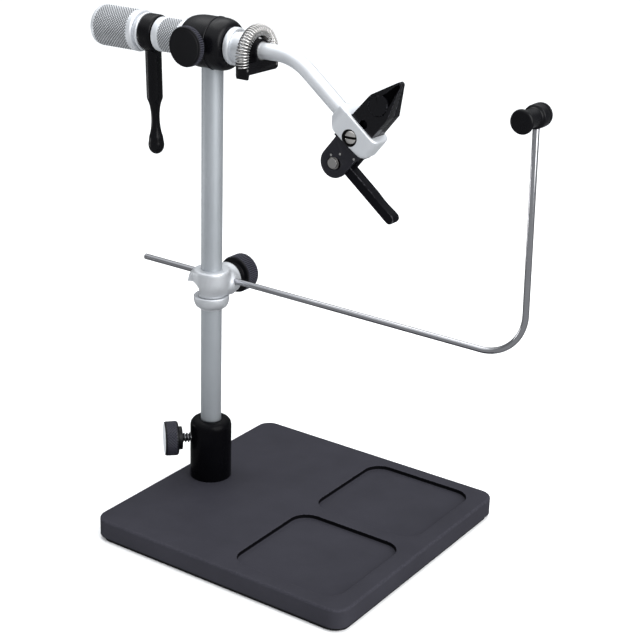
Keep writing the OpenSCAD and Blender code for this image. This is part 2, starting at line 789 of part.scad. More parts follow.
// Front cap of the housing
module housing_front_cap() {
    cap_x = seam_x + lay_gap;
    nose = housing_front - cap_x;
    color(black_satin) difference() {
        turned_x(concat(
            [[bush_r + fit, seam_x + spigot_len + lay_gap],
             [spigot_r + fit, seam_x + spigot_len + lay_gap],
             [spigot_r + fit, cap_x], [housing_r - seam_bead, cap_x]],
            arc(housing_mouth_r, cap_x + nose * 0.3, housing_r - housing_mouth_r, nose * 0.7, 0, 80,
                bulge_points),
            [[housing_mouth_r, housing_front], [bush_r + fit, housing_front]]
        ));
        post_bore();
    }
}

// Sleeve bearing about the shaft
module bush(x0) {
    color(bronze) difference() {
        rod_x(x0, x0 + bush_len, bush_r);
        rod_x(x0 - over, x0 + bush_len + over, shaft_r + fit);
    }
}

// Bush at the front of the housing
module front_bush() {
    bush(bush_front_x);
}

// Bush at the rear of the housing
module rear_bush() {
    bush(bush_rear_x);
}

// Grub screw that locks the head to the post
module head_set_screw() {
    color(steel_dark) translate([0, post_r + run_gap, housing_set_z])
        along_y() cylinder(r = grub_r, h = grub_len);
}

// Children placed on the brake screw's axis, local +Z out of the head
module on_brake_axis() {
    translate([0, 0, brake_z]) along_minus_y() children();
}

// Thread of the brake screw
module brake_stud() {
    stud_y = brake_pad_y + brake_pad_t + run_gap;
    color(bright) on_brake_axis() translate([0, 0, stud_y])
        cylinder(r = brake_stud_r, h = brake_face - brake_rim_t / 2 - stud_y);
}

// Brake knob
module brake_knob() {
    color(black_satin) on_brake_axis() difference() {
        dished_knob(brake_knob_r, brake_boss_r, housing_r + seam_bead + run_gap, brake_face - brake_rim_t,
            brake_face, brake_boss_r, lay_gap);
        cylinder(r = brake_stud_r + fit, h = brake_face - brake_rim_t / 2 + lay_gap);
    }
}

// Nylon pad pressed on the shaft by the brake screw
module brake_pad() {
    color(nylon) on_brake_axis() translate([0, 0, brake_pad_y])
        cylinder(r = brake_stud_r, h = brake_pad_t);
}

// Rotary shaft with a threaded tail and a front socket for the arm
module rotary_shaft() {
    color(bright) difference() {
        union() {
            rod_x(drum_collar_x0, front_neck_x1, shaft_r);
            rod_x(front_neck_x1, shaft_front, shaft_nose_r);
            rod_x(drum_x0 + drum_cap_t + run_gap, drum_collar_x0, shaft_tail_r);
        }
        rod_x(arm_x0 - lay_gap, shaft_front + over, arm_r + fit);
        translate([(front_flange_x0 + front_flange_x1) / 2 + front_flange_t, 0, shaft_z])
            cylinder(r = grub_r + fit, h = shaft_r + over);
    }
}

// Flange behind the housing
module rear_flange() {
    color(silver) ring_x(rear_flange_x0, rear_flange_x1, rear_flange_r);
}

// Plain ring on the shaft
module ring_x(x0, x1, r) {
    difference() {
        rod_x(x0, x1, r);
        rod_x(x0 - over, x1 + over, shaft_r + fit);
    }
}

// Knurled sleeve fixed to the shaft, with a plain rim
module knurled_sleeve() {
    color(silver) difference() {
        union() {
            ring_x(sleeve_x0, sleeve_x0 + sleeve_rim, sleeve_r);
            ring_x(sleeve_x0 + sleeve_rim, sleeve_x1, sleeve_r - knurl_step);
        }
        translate([(sleeve_x0 + sleeve_x1) / 2, 0, shaft_z]) along_y()
            cylinder(r = grub_r + fit, h = sleeve_r + over);
    }
}

// Grub screw in the sleeve
module sleeve_set_screw() {
    color(steel_dark) translate([(sleeve_x0 + sleeve_x1) / 2, shaft_r + lay_gap, shaft_z])
        along_y() cylinder(r = grub_r, h = grub_len);
}

// Front flange with its neck
module front_flange() {
    color(silver) difference() {
        union() {
            rod_x(front_flange_x0, front_flange_x1, front_flange_r);
            rod_x(front_flange_x1, front_neck_x1, front_neck_r);
        }
        rod_x(front_flange_x0 - over, front_neck_x1 + over, shaft_r + fit);
        translate([(front_flange_x0 + front_flange_x1) / 2 + front_flange_t, 0, shaft_z])
            cylinder(r = grub_r + fit, h = front_neck_r + over);
    }
}

// Grub screw that pins flange, shaft and arm together
module arm_set_screw() {
    color(steel_dark) translate([(front_flange_x0 + front_flange_x1) / 2 + front_flange_t, 0,
        shaft_z + arm_r + lay_gap]) cylinder(r = grub_r, h = front_neck_r - arm_r - run_gap);
}

// Crank: hub on the shaft and a turned handle with a waist and a bulb
module crank_handle() {
    bulb = handle_reach * 0.078;
    hollow = handle_r * 1.3;
    color(black_satin) difference() {
        union() {
            rod_x(hub_x0, hub_x1, hub_r);
            translate([hub_x0 + hub_t * 0.4, 0, shaft_z]) rotate([180 + handle_lean, 0, 0])
                rotate_extrude() polygon(concat(
                    [[0, 0], [handle_r, 0], [handle_r, handle_reach * 0.54]],
                    arc(hollow + handle_waist_r, handle_reach * 0.7, hollow, handle_reach * 0.22,
                        212, 135, bulge_points),
                    arc(0, handle_reach - bulb, handle_r, bulb, -20, 90, bulge_points)));
        }
        rod_x(hub_x0 - over, hub_x1 + over, shaft_r + fit);
        rod_x(drum_collar_x0, hub_x0, drum_collar_r + run_gap);
    }
}

// Thin collar between drum and crank
module drum_collar() {
    color(silver) ring_x(drum_collar_x0, drum_collar_x1, drum_collar_r);
}

// Knurled drum that locks the crank, with a plain rim
module drum_knob() {
    knurled_r = drum_r - knurl_step;
    color(silver) difference() {
        turned_x(concat(
            [[0, drum_x0]],
            arc(knurled_r - drum_edge_r, drum_x0 + drum_edge_r, drum_edge_r, drum_edge_r, -90, 0,
                bulge_points),
            [[knurled_r, drum_x1 - drum_rim], [drum_r, drum_x1 - drum_rim], [drum_r, drum_x1],
             [drum_neck_r, drum_x1], [drum_neck_r, drum_neck_x1], [0, drum_neck_x1]]));
        rod_x(drum_x0 + drum_cap_t, drum_neck_x1 + over, shaft_tail_r + fit);
    }
}

// Clip body that carries the spring: hub, bar and leg
module material_clip() {
    leg_in = -clip_half + clip_leg_w;
    slant = clip_leg_drop * 0.4;
    bar_bottom = -clip_bar_top - clip_bar_h;
    leg_bottom = bar_bottom - clip_leg_drop;
    web = clip_hub_r * 1.8;
    color(black_satin) difference() {
        union() {
            rod_x(clip_x0, clip_x1, clip_hub_r);
            translate([clip_x0, -web / 2, shaft_z - clip_bar_top - clip_bar_h / 2])
                cube([clip_t, web, clip_bar_top + clip_bar_h / 2]);
            translate([clip_x0, 0, shaft_z]) rotate([90, 0, 90]) linear_extrude(clip_t) polygon([
                [-clip_half, -clip_bar_top], [-clip_half, bar_bottom],
                [-clip_half + slant, leg_bottom], [leg_in - slant, leg_bottom],
                [leg_in, bar_bottom + slant], [clip_half - clip_leg_drop, bar_bottom + slant],
                [clip_half, bar_bottom + clip_leg_drop], [clip_half, -clip_bar_top]
            ]);
        }
        rod_x(clip_x0 - over, clip_x1 + over, shaft_nose_r + fit);
        for (s = [-1, 1]) translate([clip_x0 - over, s * arch_r, shaft_z - clip_bar_top - clip_bar_h / 2])
            along_x() cylinder(r = anchor_r + fit, h = clip_t + 2 * over);
    }
}

// Pins that anchor the spring's ends
module spring_anchors() {
    color(bright) for (s = [-1, 1])
        translate([clip_x0, s * arch_r, shaft_z - clip_bar_top - clip_bar_h / 2])
            along_x() cylinder(r = anchor_r, h = clip_t);
}

// Straight rise of the spring's centre line at each foot
function arch_foot() = arch_z - spring_foot_z - 2 * coil_wire_r;

// Length of the spring's centre line
function arch_length() = PI * arch_r + 2 * arch_foot();

// Turn of the centre line at distance s from its near foot
function arch_turn(s) = max(0, min(180, (s - arch_foot()) / arch_r * 180 / PI));

// Point on the centre line as [y, z] at distance s from its near foot
function arch_centre(s) = let (a = arch_turn(s)) [
    -arch_r * cos(a),
    arch_z + arch_r * sin(a) - max(0, arch_foot() - s) - max(0, s - arch_foot() - PI * arch_r)
];

// Point on the spring's wire at share t of its length
function wire_point(t) = let (
    s = t * arch_length(), c = arch_centre(s), a = arch_turn(s), w = 360 * coil_turns * t
) [
    clip_x + coil_r * sin(w),
    c[0] - coil_r * cos(w) * cos(a),
    c[1] + coil_r * cos(w) * sin(a)
];

wire_rings = coil_turns * rings_per_turn;
wire_body = [for (i = [0:wire_rings]) wire_point(i / wire_rings)];
wire_end = [0, 0, 2 * coil_wire_r];
wire_path = concat([wire_body[0] - wire_end], wire_body, [wire_body[wire_rings] - wire_end]);

// Unit vector along v
function unit(v) = v / norm(v);

// Direction of a path at point i
function heading(path, i) = unit(path[min(i + 1, len(path) - 1)] - path[max(i - 1, 0)]);

// Tube of equal rings along a path, its rings turned alike about a fixed side vector
module tube(path, r, sides, side) {
    last = len(path) - 1;
    points = [for (i = [0:last]) let (
        t = heading(path, i), n = unit(cross(t, side)), b = cross(t, n)
    ) for (k = [0:sides - 1]) path[i] + r * (cos(360 * k / sides) * n + sin(360 * k / sides) * b)];
    walls = [for (i = [0:last - 1], k = [0:sides - 1]) let (
        a = i * sides + k, b = i * sides + (k + 1) % sides, c = a + sides, d = b + sides
    ) each [[a, b, d], [a, d, c]]];
    caps = [for (k = [1:sides - 2]) each [
        [0, k + 1, k], [last * sides, last * sides + k, last * sides + k + 1]]];
    polyhedron(points, concat(walls, caps));
}

// Least gap of the spring's wire to its next turn
wire_gap = min([for (i = [0:wire_rings - rings_per_turn / 2]) min(
    [for (j = [i + rings_per_turn / 2:min(i + rings_per_turn * 2, wire_rings)])
        norm(wire_body[i] - wire_body[j])])]) - 2 * coil_wire_r;
echo(least_gap_of_spring_wire = wire_gap);

// Spring that grips the tying materials
module material_spring() {
    color(bright) tube(wire_path, coil_wire_r, wire_sides, unit([0.3, 0.2, 1]));
}

// Bent arm from the shaft down to the block
module jaw_arm() {
    color(silver) translate([arm_x0, 0, shaft_z]) rotate([180, 0, 0])
        bent_bar(arm_r, bend_x - arm_x0, arm_bend_r, arm_angle,
            arm_run - block_back + arm_socket - lay_gap);
}

// Children in the block's own frame, its origin on the slotted screw's axis
module in_block() {
    translate([block_x, 0, block_z]) rotate([0, arm_angle, 0]) children();
}

// Outline in the block's own x and z, drawn through the given half thickness to both sides
module through_y(half) {
    rotate([90, 0, 0]) linear_extrude(2 * half, center = true) children();
}

// Block that holds the jaws
module jaw_block() {
    end_r = block_below * 0.95;
    lip_r = block_below * 0.35;
    neck = block_back * 0.66;
    mouth_w = jaw_w + 2 * tail_relief;
    mouth_half = jaw_half + tail_relief;
    color(silver) in_block() difference() {
        intersection() {
            through_y(block_half) polygon(concat(
                [[-block_back, arm_offset - arm_r], [-neck, -block_below]],
                arc(block_ahead - end_r, end_r - block_below, end_r, end_r, -90, 0, bulge_points),
                arc(block_ahead - lip_r, block_above - lip_r, lip_r, lip_r, 0, 90, bulge_points),
                [[-neck, block_above], [-block_back, arm_offset + arm_r]]));
            translate([0, 0, -block_below - over]) linear_extrude(block_below + block_above + 2 * over)
                polygon(concat(
                    [[-neck * 1.1, -block_half], [-block_back, -arm_r], [-block_back, arm_r],
                     [-neck * 1.1, block_half]],
                    arc(block_ahead - end_r, block_half - end_r, end_r, end_r, 90, 0, bulge_points),
                    arc(block_ahead - end_r, end_r - block_half, end_r, end_r, 0, -90, bulge_points)));
        }
        translate([jaw_x - mouth_w / 2, -mouth_half, mouth_floor])
            cube([mouth_w, 2 * mouth_half, mouth_depth + over]);
        translate([-block_back - over, 0, arm_offset]) along_x()
            cylinder(r = arm_r + fit, h = arm_socket + over);
        translate([pin_x, 0, -block_below - over])
            cylinder(r = draw_r + fit, h = block_below + block_above);
        translate([0, -block_half + screw_head_t + run_gap, 0]) along_minus_y()
            cylinder(r = screw_r + fit, h = block_half);
        along_minus_y() translate([0, 0, draw_r + run_gap])
            cylinder(r = screw_r * 0.4 + fit, h = block_half);
    }
}

// Slotted screw in the block's near face
module block_screw() {
    face = -block_half + run_gap;
    slot_depth = screw_head_t * 0.5;
    color(bright) in_block() difference() {
        union() {
            translate([0, face + screw_head_t - lay_gap, 0]) along_minus_y()
                cylinder(r = screw_r, h = screw_head_t - lay_gap);
            translate([0, face + screw_head_t / 2, 0]) along_y()
                cylinder(r = screw_r * 0.4, h = block_half - screw_head_t / 2 - draw_r - 4 * run_gap);
        }
        rotate([0, -arm_angle, 0]) translate([-screw_r - over, face - over, -screw_slot_w / 2])
            cube([2 * (screw_r + over), slot_depth + over, screw_slot_w]);
    }
}

// One jaw, drawn on the +Y side of the seam in the block's own frame
module jaw() {
    tip_round = jaw_tip - tip_half;
    taper_angle = atan((jaw_half - tip_thick) / jaw_taper);
    flute_r = jaw_w * 0.47;
    flute_depth = tip_thick * 0.6;
    difference() {
        intersection() {
            through_y(jaw_half) translate([jaw_x, 0]) polygon(concat(
                [[-jaw_w / 2, jaw_bottom], [jaw_w / 2, jaw_bottom], [jaw_w / 2, jaw_shoulder]],
                arc(0, tip_round, tip_half, tip_half, 20, 160, bulge_points),
                [[-jaw_w * 0.43, jaw_shoulder + jaw_taper * 0.14],
                 [-jaw_w / 2, jaw_shoulder - jaw_straight * 0.08]]));
            translate([-jaw_w, 0, 0]) rotate([90, 0, 90]) linear_extrude(2 * jaw_w) polygon([
                [tail_relief + jaw_gap / 2, 0], [jaw_half, 0], [jaw_half, jaw_shoulder],
                [tip_thick, jaw_tip], [jaw_gap / 2, jaw_tip], [jaw_gap / 2, block_above],
                [tail_relief + jaw_gap / 2, block_above]
            ]);
        }
        translate([hole_x, 0, hole_z]) along_y() cylinder(r = jaw_hole_r, h = jaw_half + over);
        translate([jaw_x - jaw_w * 0.02, jaw_half - seat_depth, seat_z]) along_y()
            cylinder(r = seat_r, h = seat_depth + over);
        translate([jaw_x, jaw_half, jaw_shoulder]) rotate([taper_angle, 0, 0])
            translate([0, flute_r - flute_depth, 0]) cylinder(r = flute_r, h = jaw_taper * 0.86);
        translate([pin_x - tongue_w / 2 - run_gap, -over, jaw_bottom - over])
            cube([tongue_w + 2 * run_gap, over + tongue_half + run_gap, tongue_top + cam_throw + run_gap
                - jaw_bottom + over]);
        translate([jaw_x, -over, spring_pocket_z]) along_y()
            cylinder(r = jaw_spring_r + run_gap, h = jaw_spring_half + run_gap + over);
    }
}

// Jaw on the near side
module near_jaw() {
    color(black_satin) in_block() mirror([0, 1, 0]) jaw();
}

// Jaw on the far side
module far_jaw() {
    color(black_satin) in_block() jaw();
}

// Small spring that parts the jaws
module jaw_spring() {
    color(bright) in_block() translate([jaw_x, 0, spring_pocket_z]) along_y() difference() {
        cylinder(r = jaw_spring_r, h = 2 * jaw_spring_half, center = true);
        cylinder(r = jaw_spring_r * 0.6, h = 2 * jaw_spring_half + over, center = true);
    }
}

// Pin that ties both jaws to the draw bar
module jaw_pin() {
    color(bright) in_block() translate([hole_x, 0, hole_z]) along_y()
        cylinder(r = jaw_pin_r, h = jaw_half * 1.3, center = true);
}

// Draw bar: an eye around the lever's eccentric, a round stem and a tongue between the jaws
module draw_bar() {
    stem_z = lever_top + run_gap;
    stem_top = mouth_floor - run_gap;
    eye_half = slot_half - run_gap;
    color(steel_dark) in_block() difference() {
        union() {
            translate([pin_x, 0, stem_z]) cylinder(r = draw_r, h = stem_top - stem_z);
            translate([pin_x - tongue_w / 2, -tongue_half, stem_top - draw_r])
                cube([tongue_w, 2 * tongue_half, tongue_top - stem_top + draw_r]);
            translate([pin_x, 0, pin_z - cam_throw]) along_y()
                cylinder(r = eye_r + eye_wall, h = 2 * eye_half, center = true);
            translate([pin_x - draw_r * 0.7, -eye_half, pin_z + eye_r])
                cube([draw_r * 1.4, 2 * eye_half, stem_z - pin_z - eye_r + draw_r]);
        }
        translate([pin_x, 0, pin_z - cam_throw]) along_y()
            cylinder(r = eye_r, h = 2 * slot_half, center = true);
        translate([hole_x, 0, hole_z]) along_y()
            cylinder(r = jaw_pin_r + fit, h = 4 * tongue_half, center = true);
    }
}

// Clevis under the block: flange and two cheeks
module clevis() {
    flange_back = cheek_w * 0.5;
    flange_w = cheek_w * 1.18;
    crescent = cam_pin_r * 0.38;
    color(black_satin) in_block() difference() {
        union() {
            translate([-flange_back, -cheek_out, flange_bottom])
                cube([flange_w, 2 * cheek_out, flange_t]);
            for (s = [0, 1]) mirror([0, s, 0]) translate([cheek_x, cheek_in, cheek_z]) {
                along_y() cylinder(r = cheek_end_r, h = cheek_t);
                translate([-cheek_end_r, 0, 0])
                    cube([cheek_w, cheek_t, flange_bottom - cheek_z + flange_t / 2]);
            }
        }
        translate([pin_x, 0, pin_z]) along_y()
            cylinder(r = cam_pin_r + fit, h = 4 * cheek_out, center = true);
        translate([pin_x + crescent, 0, pin_z + crescent]) along_y()
            cylinder(r = cam_pin_r, h = 4 * cheek_out, center = true);
        translate([pin_x, 0, flange_bottom - over]) cylinder(r = draw_r + fit, h = flange_t + 2 * over);
        for (p = rivet_places) translate([p[0], 0, p[1]]) along_y()
            cylinder(r = rivet_r + fit, h = 4 * cheek_out, center = true);
    }
}

// Short rivets in the cheeks
module clevis_rivets() {
    color(bright) in_block() for (p = rivet_places, s = [0, 1]) mirror([0, s, 0])
        translate([p[0], cheek_in + lay_gap, p[1]]) along_y() cylinder(r = rivet_r, h = cheek_t);
}

// Cam lever: hub with an eccentric in its slot, and a bar with a round end
module cam_lever() {
    end_r = lever_h / 2;
    color(black_satin) in_block() translate([pin_x, 0, pin_z]) {
        difference() {
            union() {
                across_y(lever_hub_r, lever_w);
                translate([0, -lever_w / 2, lever_low - pin_z]) cube([lever_len - end_r, lever_w, lever_h]);
                translate([lever_len - end_r, 0, lever_low - pin_z + end_r]) across_y(end_r, lever_w);
            }
            across_y(eye_slot_r, 2 * slot_half);
            across_y(cam_pin_r + fit, 2 * lever_w);
        }
        difference() {
            translate([0, 0, -cam_throw]) across_y(cam_r, 2 * slot_half);
            across_y(cam_pin_r + fit, 2 * lever_w);
        }
    }
}

// Pin that the cam lever turns on
module cam_pin() {
    color(bright) in_block() translate([pin_x, 0, pin_z]) along_y()
        cylinder(r = cam_pin_r, h = 2 * (cheek_out + run_gap), center = true);
}

base_plate();
base_pad();
post_socket();
socket_bolt();
clamp_stud();
clamp_knob();
clamp_knob_cap();
post();
stop_collar();
collar_set_screw();
cradle_bracket();
bracket_stud();
bracket_knob();
cradle_rod();
cradle_spool();
spool_set_screw();
housing_body();
housing_front_cap();
front_bush();
rear_bush();
head_set_screw();
brake_stud();
brake_knob();
brake_pad();
rotary_shaft();
knurled_sleeve();
sleeve_set_screw();
rear_flange();
front_flange();
crank_handle();
drum_knob();
drum_collar();
material_clip();
material_spring();
spring_anchors();
jaw_arm();
arm_set_screw();
jaw_block();
block_screw();
near_jaw();
far_jaw();
jaw_spring();
jaw_pin();
draw_bar();
clevis();
clevis_rivets();
cam_lever();
cam_pin();
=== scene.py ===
import json
import math

import bmesh
import bpy
from mathutils import Matrix, Vector


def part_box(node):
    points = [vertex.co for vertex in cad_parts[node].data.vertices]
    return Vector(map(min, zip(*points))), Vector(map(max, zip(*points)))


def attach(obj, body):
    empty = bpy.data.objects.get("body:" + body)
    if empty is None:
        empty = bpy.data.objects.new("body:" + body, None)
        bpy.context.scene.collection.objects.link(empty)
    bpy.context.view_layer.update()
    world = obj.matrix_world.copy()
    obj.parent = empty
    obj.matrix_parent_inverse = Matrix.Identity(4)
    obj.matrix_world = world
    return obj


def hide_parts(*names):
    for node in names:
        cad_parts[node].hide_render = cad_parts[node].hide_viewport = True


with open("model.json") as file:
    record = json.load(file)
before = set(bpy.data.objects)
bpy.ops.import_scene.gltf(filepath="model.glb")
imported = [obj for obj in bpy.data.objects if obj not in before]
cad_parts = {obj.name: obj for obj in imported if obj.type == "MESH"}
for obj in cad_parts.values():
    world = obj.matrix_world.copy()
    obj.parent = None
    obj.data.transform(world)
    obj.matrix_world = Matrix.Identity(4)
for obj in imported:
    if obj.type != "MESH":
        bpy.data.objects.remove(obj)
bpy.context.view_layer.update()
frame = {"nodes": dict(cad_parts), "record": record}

bl_info = {
    "name": "Fly tying vise dressing",
    "version": (1, 0, 0),
    "blender": (4, 5, 0),
    "location": "View3D > Sidebar > Vise",
    "description": "Turned, knurled, cast and coiled pieces for the rotary fly tying vise",
    "category": "Object",
}

# Shapes are made in millimetres, and set_down brings them to metres
MM = 0.001
MERGE = 0.0005
ARM_ANGLE = math.radians(38.5)
POST_BORE = 5.62
SHAFT_BORE = 5.1
GRUB_HOLE = 1.55
ROD_Y, ROD_RISE, ROD_TILT = 7.5, 7.5, 0.45


def low(node, axis):
    """Lowest coordinate of a node along an axis, in millimetres."""
    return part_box(node)[0][axis] / MM


def high(node, axis):
    """Highest coordinate of a node along an axis, in millimetres."""
    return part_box(node)[1][axis] / MM


def middle(node, axis):
    """Middle of a node along an axis, in millimetres."""
    return (low(node, axis) + high(node, axis)) / 2


def shift(x, y, z):
    """Translation matrix in the shape's own unit."""
    return Matrix.Translation((x, y, z))


def around(axis, degrees):
    """Rotation matrix about an axis through the origin."""
    return Matrix.Rotation(math.radians(degrees), 4, axis)


def at(x, y, z, turn=None):
    """Placing matrix for a piece made about the local Z axis, its place in millimetres."""
    place = shift(x * MM, y * MM, z * MM)
    return place @ turn if turn else place


SHAFT_Z = middle("rear_flange", 2)
BRAKE_Z = middle("brake_knob", 2)
CLAMP_Z = middle("clamp_knob", 2)
BRACKET_Z = middle("bracket_knob", 2)
PIN = Vector((middle("cam_pin", 0), 0, middle("cam_pin", 2)))
ALONG_X = around("Y", 90)
ALONG_Y = around("X", -90)
ALONG_MINUS_Y = around("X", 90)
ALONG_CLAMP = around("Z", 225) @ ALONG_X
ON_SHAFT = at(0, 0, SHAFT_Z, ALONG_X)
ON_BRAKE = at(0, 0, BRAKE_Z, ALONG_MINUS_Y)
ON_BRACKET = at(0, 0, BRACKET_Z, ALONG_Y)
ON_CLAMP = at(0, 0, CLAMP_Z, ALONG_CLAMP)
# The block's own frame: x along the arm, z towards the jaws' tips, origin on the slotted screw
LEAN = Matrix.Rotation(ARM_ANGLE, 4, "Y")
BLOCK_ORIGIN = PIN - LEAN.to_3x3() @ Vector((1.1, 0, -17.85))
IN_BLOCK = Matrix.Translation(BLOCK_ORIGIN * MM) @ LEAN


def arc(cx, cy, rx, ry, start, end, steps):
    """Points of an arc for a profile, angles in degrees."""
    turns = [math.radians(start + (end - start) * i / steps) for i in range(steps + 1)]
    return [(cx + rx * math.cos(t), cy + ry * math.sin(t)) for t in turns]


def quarter(radius, count):
    """Steps of (inwards, upwards) that climb a quarter round from its upright side."""
    turns = [math.radians(90 * i / count) for i in range(count + 1)]
    return [(radius * (math.cos(a) - math.cos(b)), radius * (math.sin(b) - math.sin(a)))
            for a, b in zip(turns, turns[1:])]


def only(geom, kind):
    """The elements of one kind in an operator's result."""
    return [g for g in geom if isinstance(g, kind)]


def outward(bm):
    """Turn every face outwards."""
    bmesh.ops.recalc_face_normals(bm, faces=bm.faces)


def merged(bm, distance=MERGE):
    """Join the points that lie in one place."""
    bmesh.ops.remove_doubles(bm, verts=bm.verts, dist=distance)
    return bm


def rounded(bm, geom, radius, segments, affect="EDGES", **options):
    """Round edges, or the corners of a flat shape."""
    bmesh.ops.bevel(bm, geom=geom, offset=radius, segments=segments, profile=0.5,
                    affect=affect, material=-1, **options)


def pulled(bm, faces, vec):
    """Extrude faces along a vector, and return the new verts and faces."""
    grown = bmesh.ops.extrude_face_region(bm, geom=faces)["geom"]
    verts = only(grown, bmesh.types.BMVert)
    bmesh.ops.translate(bm, vec=vec, verts=verts)
    return verts, only(grown, bmesh.types.BMFace)


def moved(bm, matrix):
    """Move a shape by a matrix whose place is in millimetres."""
    bmesh.ops.transform(bm, matrix=matrix, verts=bm.verts)
    return bm


def turned(points, steps=96, ring=False):
    """Turn a profile of (radius, height, rounding) points about Z."""
    bm = bmesh.new()
    verts = [bm.verts.new((p[0], 0, p[1])) for p in points]
    pairs = list(zip(verts, verts[1:]))
    if ring:
        pairs.append((verts[-1], verts[0]))
    for pair in pairs:
        bm.edges.new(pair)
    for vert, point in zip(verts, points):
        if len(point) > 2:
            rounded(bm, [vert], point[2], 4, "VERTICES")
    bmesh.ops.spin(bm, geom=bm.verts[:] + bm.edges[:], cent=(0, 0, 0), axis=(0, 0, 1),
                   angle=math.tau, steps=steps, use_merge=True)
    merged(bm)
    outward(bm)
    return bm


def pipe(radius, z0, z1, segments=64, chamfer=0.0):
    """A plain round bar along Z, used for cutting and for hubs."""
    bm = bmesh.new()
    bmesh.ops.create_cone(bm, cap_ends=True, segments=segments, radius1=radius, radius2=radius,
                          depth=z1 - z0, matrix=shift(0, 0, (z0 + z1) / 2))
    if chamfer:
        rounded(bm, [e for e in bm.edges if e.calc_face_angle(0) > 1], chamfer, 3)
    return bm


def brick(x0, x1, y0, y1, z0, z1):
    """A box between two corners."""
    bm = bmesh.new()
    size = Matrix.Diagonal((x1 - x0, y1 - y0, z1 - z0, 1))
    place = shift((x0 + x1) / 2, (y0 + y1) / 2, (z0 + z1) / 2)
    bmesh.ops.create_cube(bm, size=1, matrix=place @ size)
    return bm


def sheet(place, w, d):
    """A flat rectangle of one face."""
    bm = bmesh.new()
    bmesh.ops.create_grid(bm, x_segments=1, y_segments=1, size=0.5,
                          matrix=place @ Matrix.Diagonal((w, d, 1, 1)))
    return bm


def plate(w, d, z0, z1, corners, segments=10):
    """A flat plate about the origin, its upright corners rounded to the given radii in turn."""
    bm = sheet(shift(0, 0, z0), w, d)
    order = sorted(bm.verts, key=lambda v: math.atan2(v.co.y, v.co.x))
    for vert, radius in zip(order, corners):
        if radius:
            rounded(bm, [vert], radius, segments, "VERTICES")
    pulled(bm, bm.faces[:], (0, 0, z1 - z0))
    outward(bm)
    return bm


def slab(outline, y0, y1):
    """A closed outline of (x, z) points, given its thickness along Y."""
    bm = bmesh.new()
    face = bm.faces.new([bm.verts.new((x, y0, z)) for x, z in outline])
    pulled(bm, [face], (0, y1 - y0, 0))
    return bm


def soften(bm, width, angle=30, segments=2):
    """Round every edge that turns by more than the angle."""
    edges = [e for e in bm.edges if e.is_manifold and e.calc_face_angle() > math.radians(angle)]
    rounded(bm, edges, width, segments, clamp_overlap=True)
    return bm


def poured(bm, whole):
    """Add a shape to another one."""
    mesh = bpy.data.meshes.new("part")
    bm.to_mesh(mesh)
    bm.free()
    whole.from_mesh(mesh)
    bpy.data.meshes.remove(mesh)


def joined(*shapes):
    """Several shapes in one."""
    whole = bmesh.new()
    for bm in shapes:
        poured(bm, whole)
    return whole


def bench_object(bm, name="bench"):
    """A passing object for the modifiers."""
    mesh = bpy.data.meshes.new(name)
    bm.to_mesh(mesh)
    bm.free()
    bench = bpy.data.objects.new(name, mesh)
    bpy.context.scene.collection.objects.link(bench)
    return bench


def evaluated(bench, *others):
    """The mesh that a passing object's modifiers give, as a new shape."""
    graph = bpy.context.evaluated_depsgraph_get()
    mesh = bpy.data.meshes.new_from_object(bench.evaluated_get(graph))
    bm = bmesh.new()
    bm.from_mesh(mesh)
    bpy.data.meshes.remove(mesh)
    for thing in (bench,) + others:
        data = thing.data
        bpy.data.objects.remove(thing)
        bpy.data.meshes.remove(data)
    return bm


def cut(bm, *tools):
    """Cut each tool out of a shape."""
    bench = bench_object(bm)
    cutters = [bench_object(tool, "cutter") for tool in tools]
    for cutter in cutters:
        hole = bench.modifiers.new("Cut", "BOOLEAN")
        hole.operation = "DIFFERENCE"
        hole.solver = "EXACT"
        hole.object = cutter
    return merged(evaluated(bench, *cutters))


def cast(bm, grain, rounds):
    """Fuse overlapping shapes into one skin with soft blends, as a casting has."""
    bench = bench_object(bm)
    fuse = bench.modifiers.new("Fuse", "REMESH")
    fuse.mode = "VOXEL"
    fuse.voxel_size = grain
    soft = bench.modifiers.new("Soften", "SMOOTH")
    soft.factor = 0.5
    soft.iterations = rounds
    return evaluated(bench)


def knurl(bm, z0, z1, steps, depth):
    """Raise a diamond knurl on the rows of a turned shape between two heights, and mark its
    valleys for a painted shade.
    """
    rows = sorted({round(v.co.z, 3) for v in bm.verts if z0 - 0.01 < v.co.z < z1 + 0.01})
    place = {z: i for i, z in enumerate(rows)}
    low_points = set()
    hollow = bm.verts.layers.float.new("hollow")
    for v in bm.verts:
        row = place.get(round(v.co.z, 3))
        if row is None or row in (0, len(rows) - 1):
            continue
        column = round(math.atan2(v.co.y, v.co.x) / math.tau * steps)
        if (column + row) % 2:
            low_points.add(v)
            v[hollow] = 1
        else:
            grow = 1 + depth / math.hypot(v.co.x, v.co.y)
            v.co.x *= grow
            v.co.y *= grow
    for face in bm.faces[:]:
        lows = [v for v in face.verts if v in low_points]
        if len(face.verts) == 4 and len(lows) == 2:
            bmesh.utils.face_split(face, lows[0], lows[1])


def ribbed(bm, z0, z1, least_r, steps, every, depth):
    """Press straight grooves into the rim of a turned shape, and mark the ridges for a painted
    highlight.
    """
    ridge_highlight = bm.verts.layers.float.new("hollow")
    for v in bm.verts:
        reach = math.hypot(v.co.x, v.co.y)
        column = round(math.atan2(v.co.y, v.co.x) / math.tau * steps)
        if z0 < v.co.z < z1 and reach > least_r:
            if column % every:
                v[ridge_highlight] = 1
            else:
                v.co.x *= 1 - depth / reach
                v.co.y *= 1 - depth / reach


def helix(profile, turns, pitch, steps):
    """Sweep a closed profile of (radius, height) points along a helix about Z."""
    bm = bmesh.new()
    verts = [bm.verts.new((p[0], 0, p[1])) for p in profile]
    face = bm.faces.new(verts)
    edges = face.edges[:]
    bmesh.ops.spin(bm, geom=verts + edges + [face], cent=(0, 0, 0), axis=(0, 0, 1),
                   dvec=(0, 0, pitch / steps), angle=math.tau * turns, steps=round(steps * turns))
    outward(bm)
    return bm


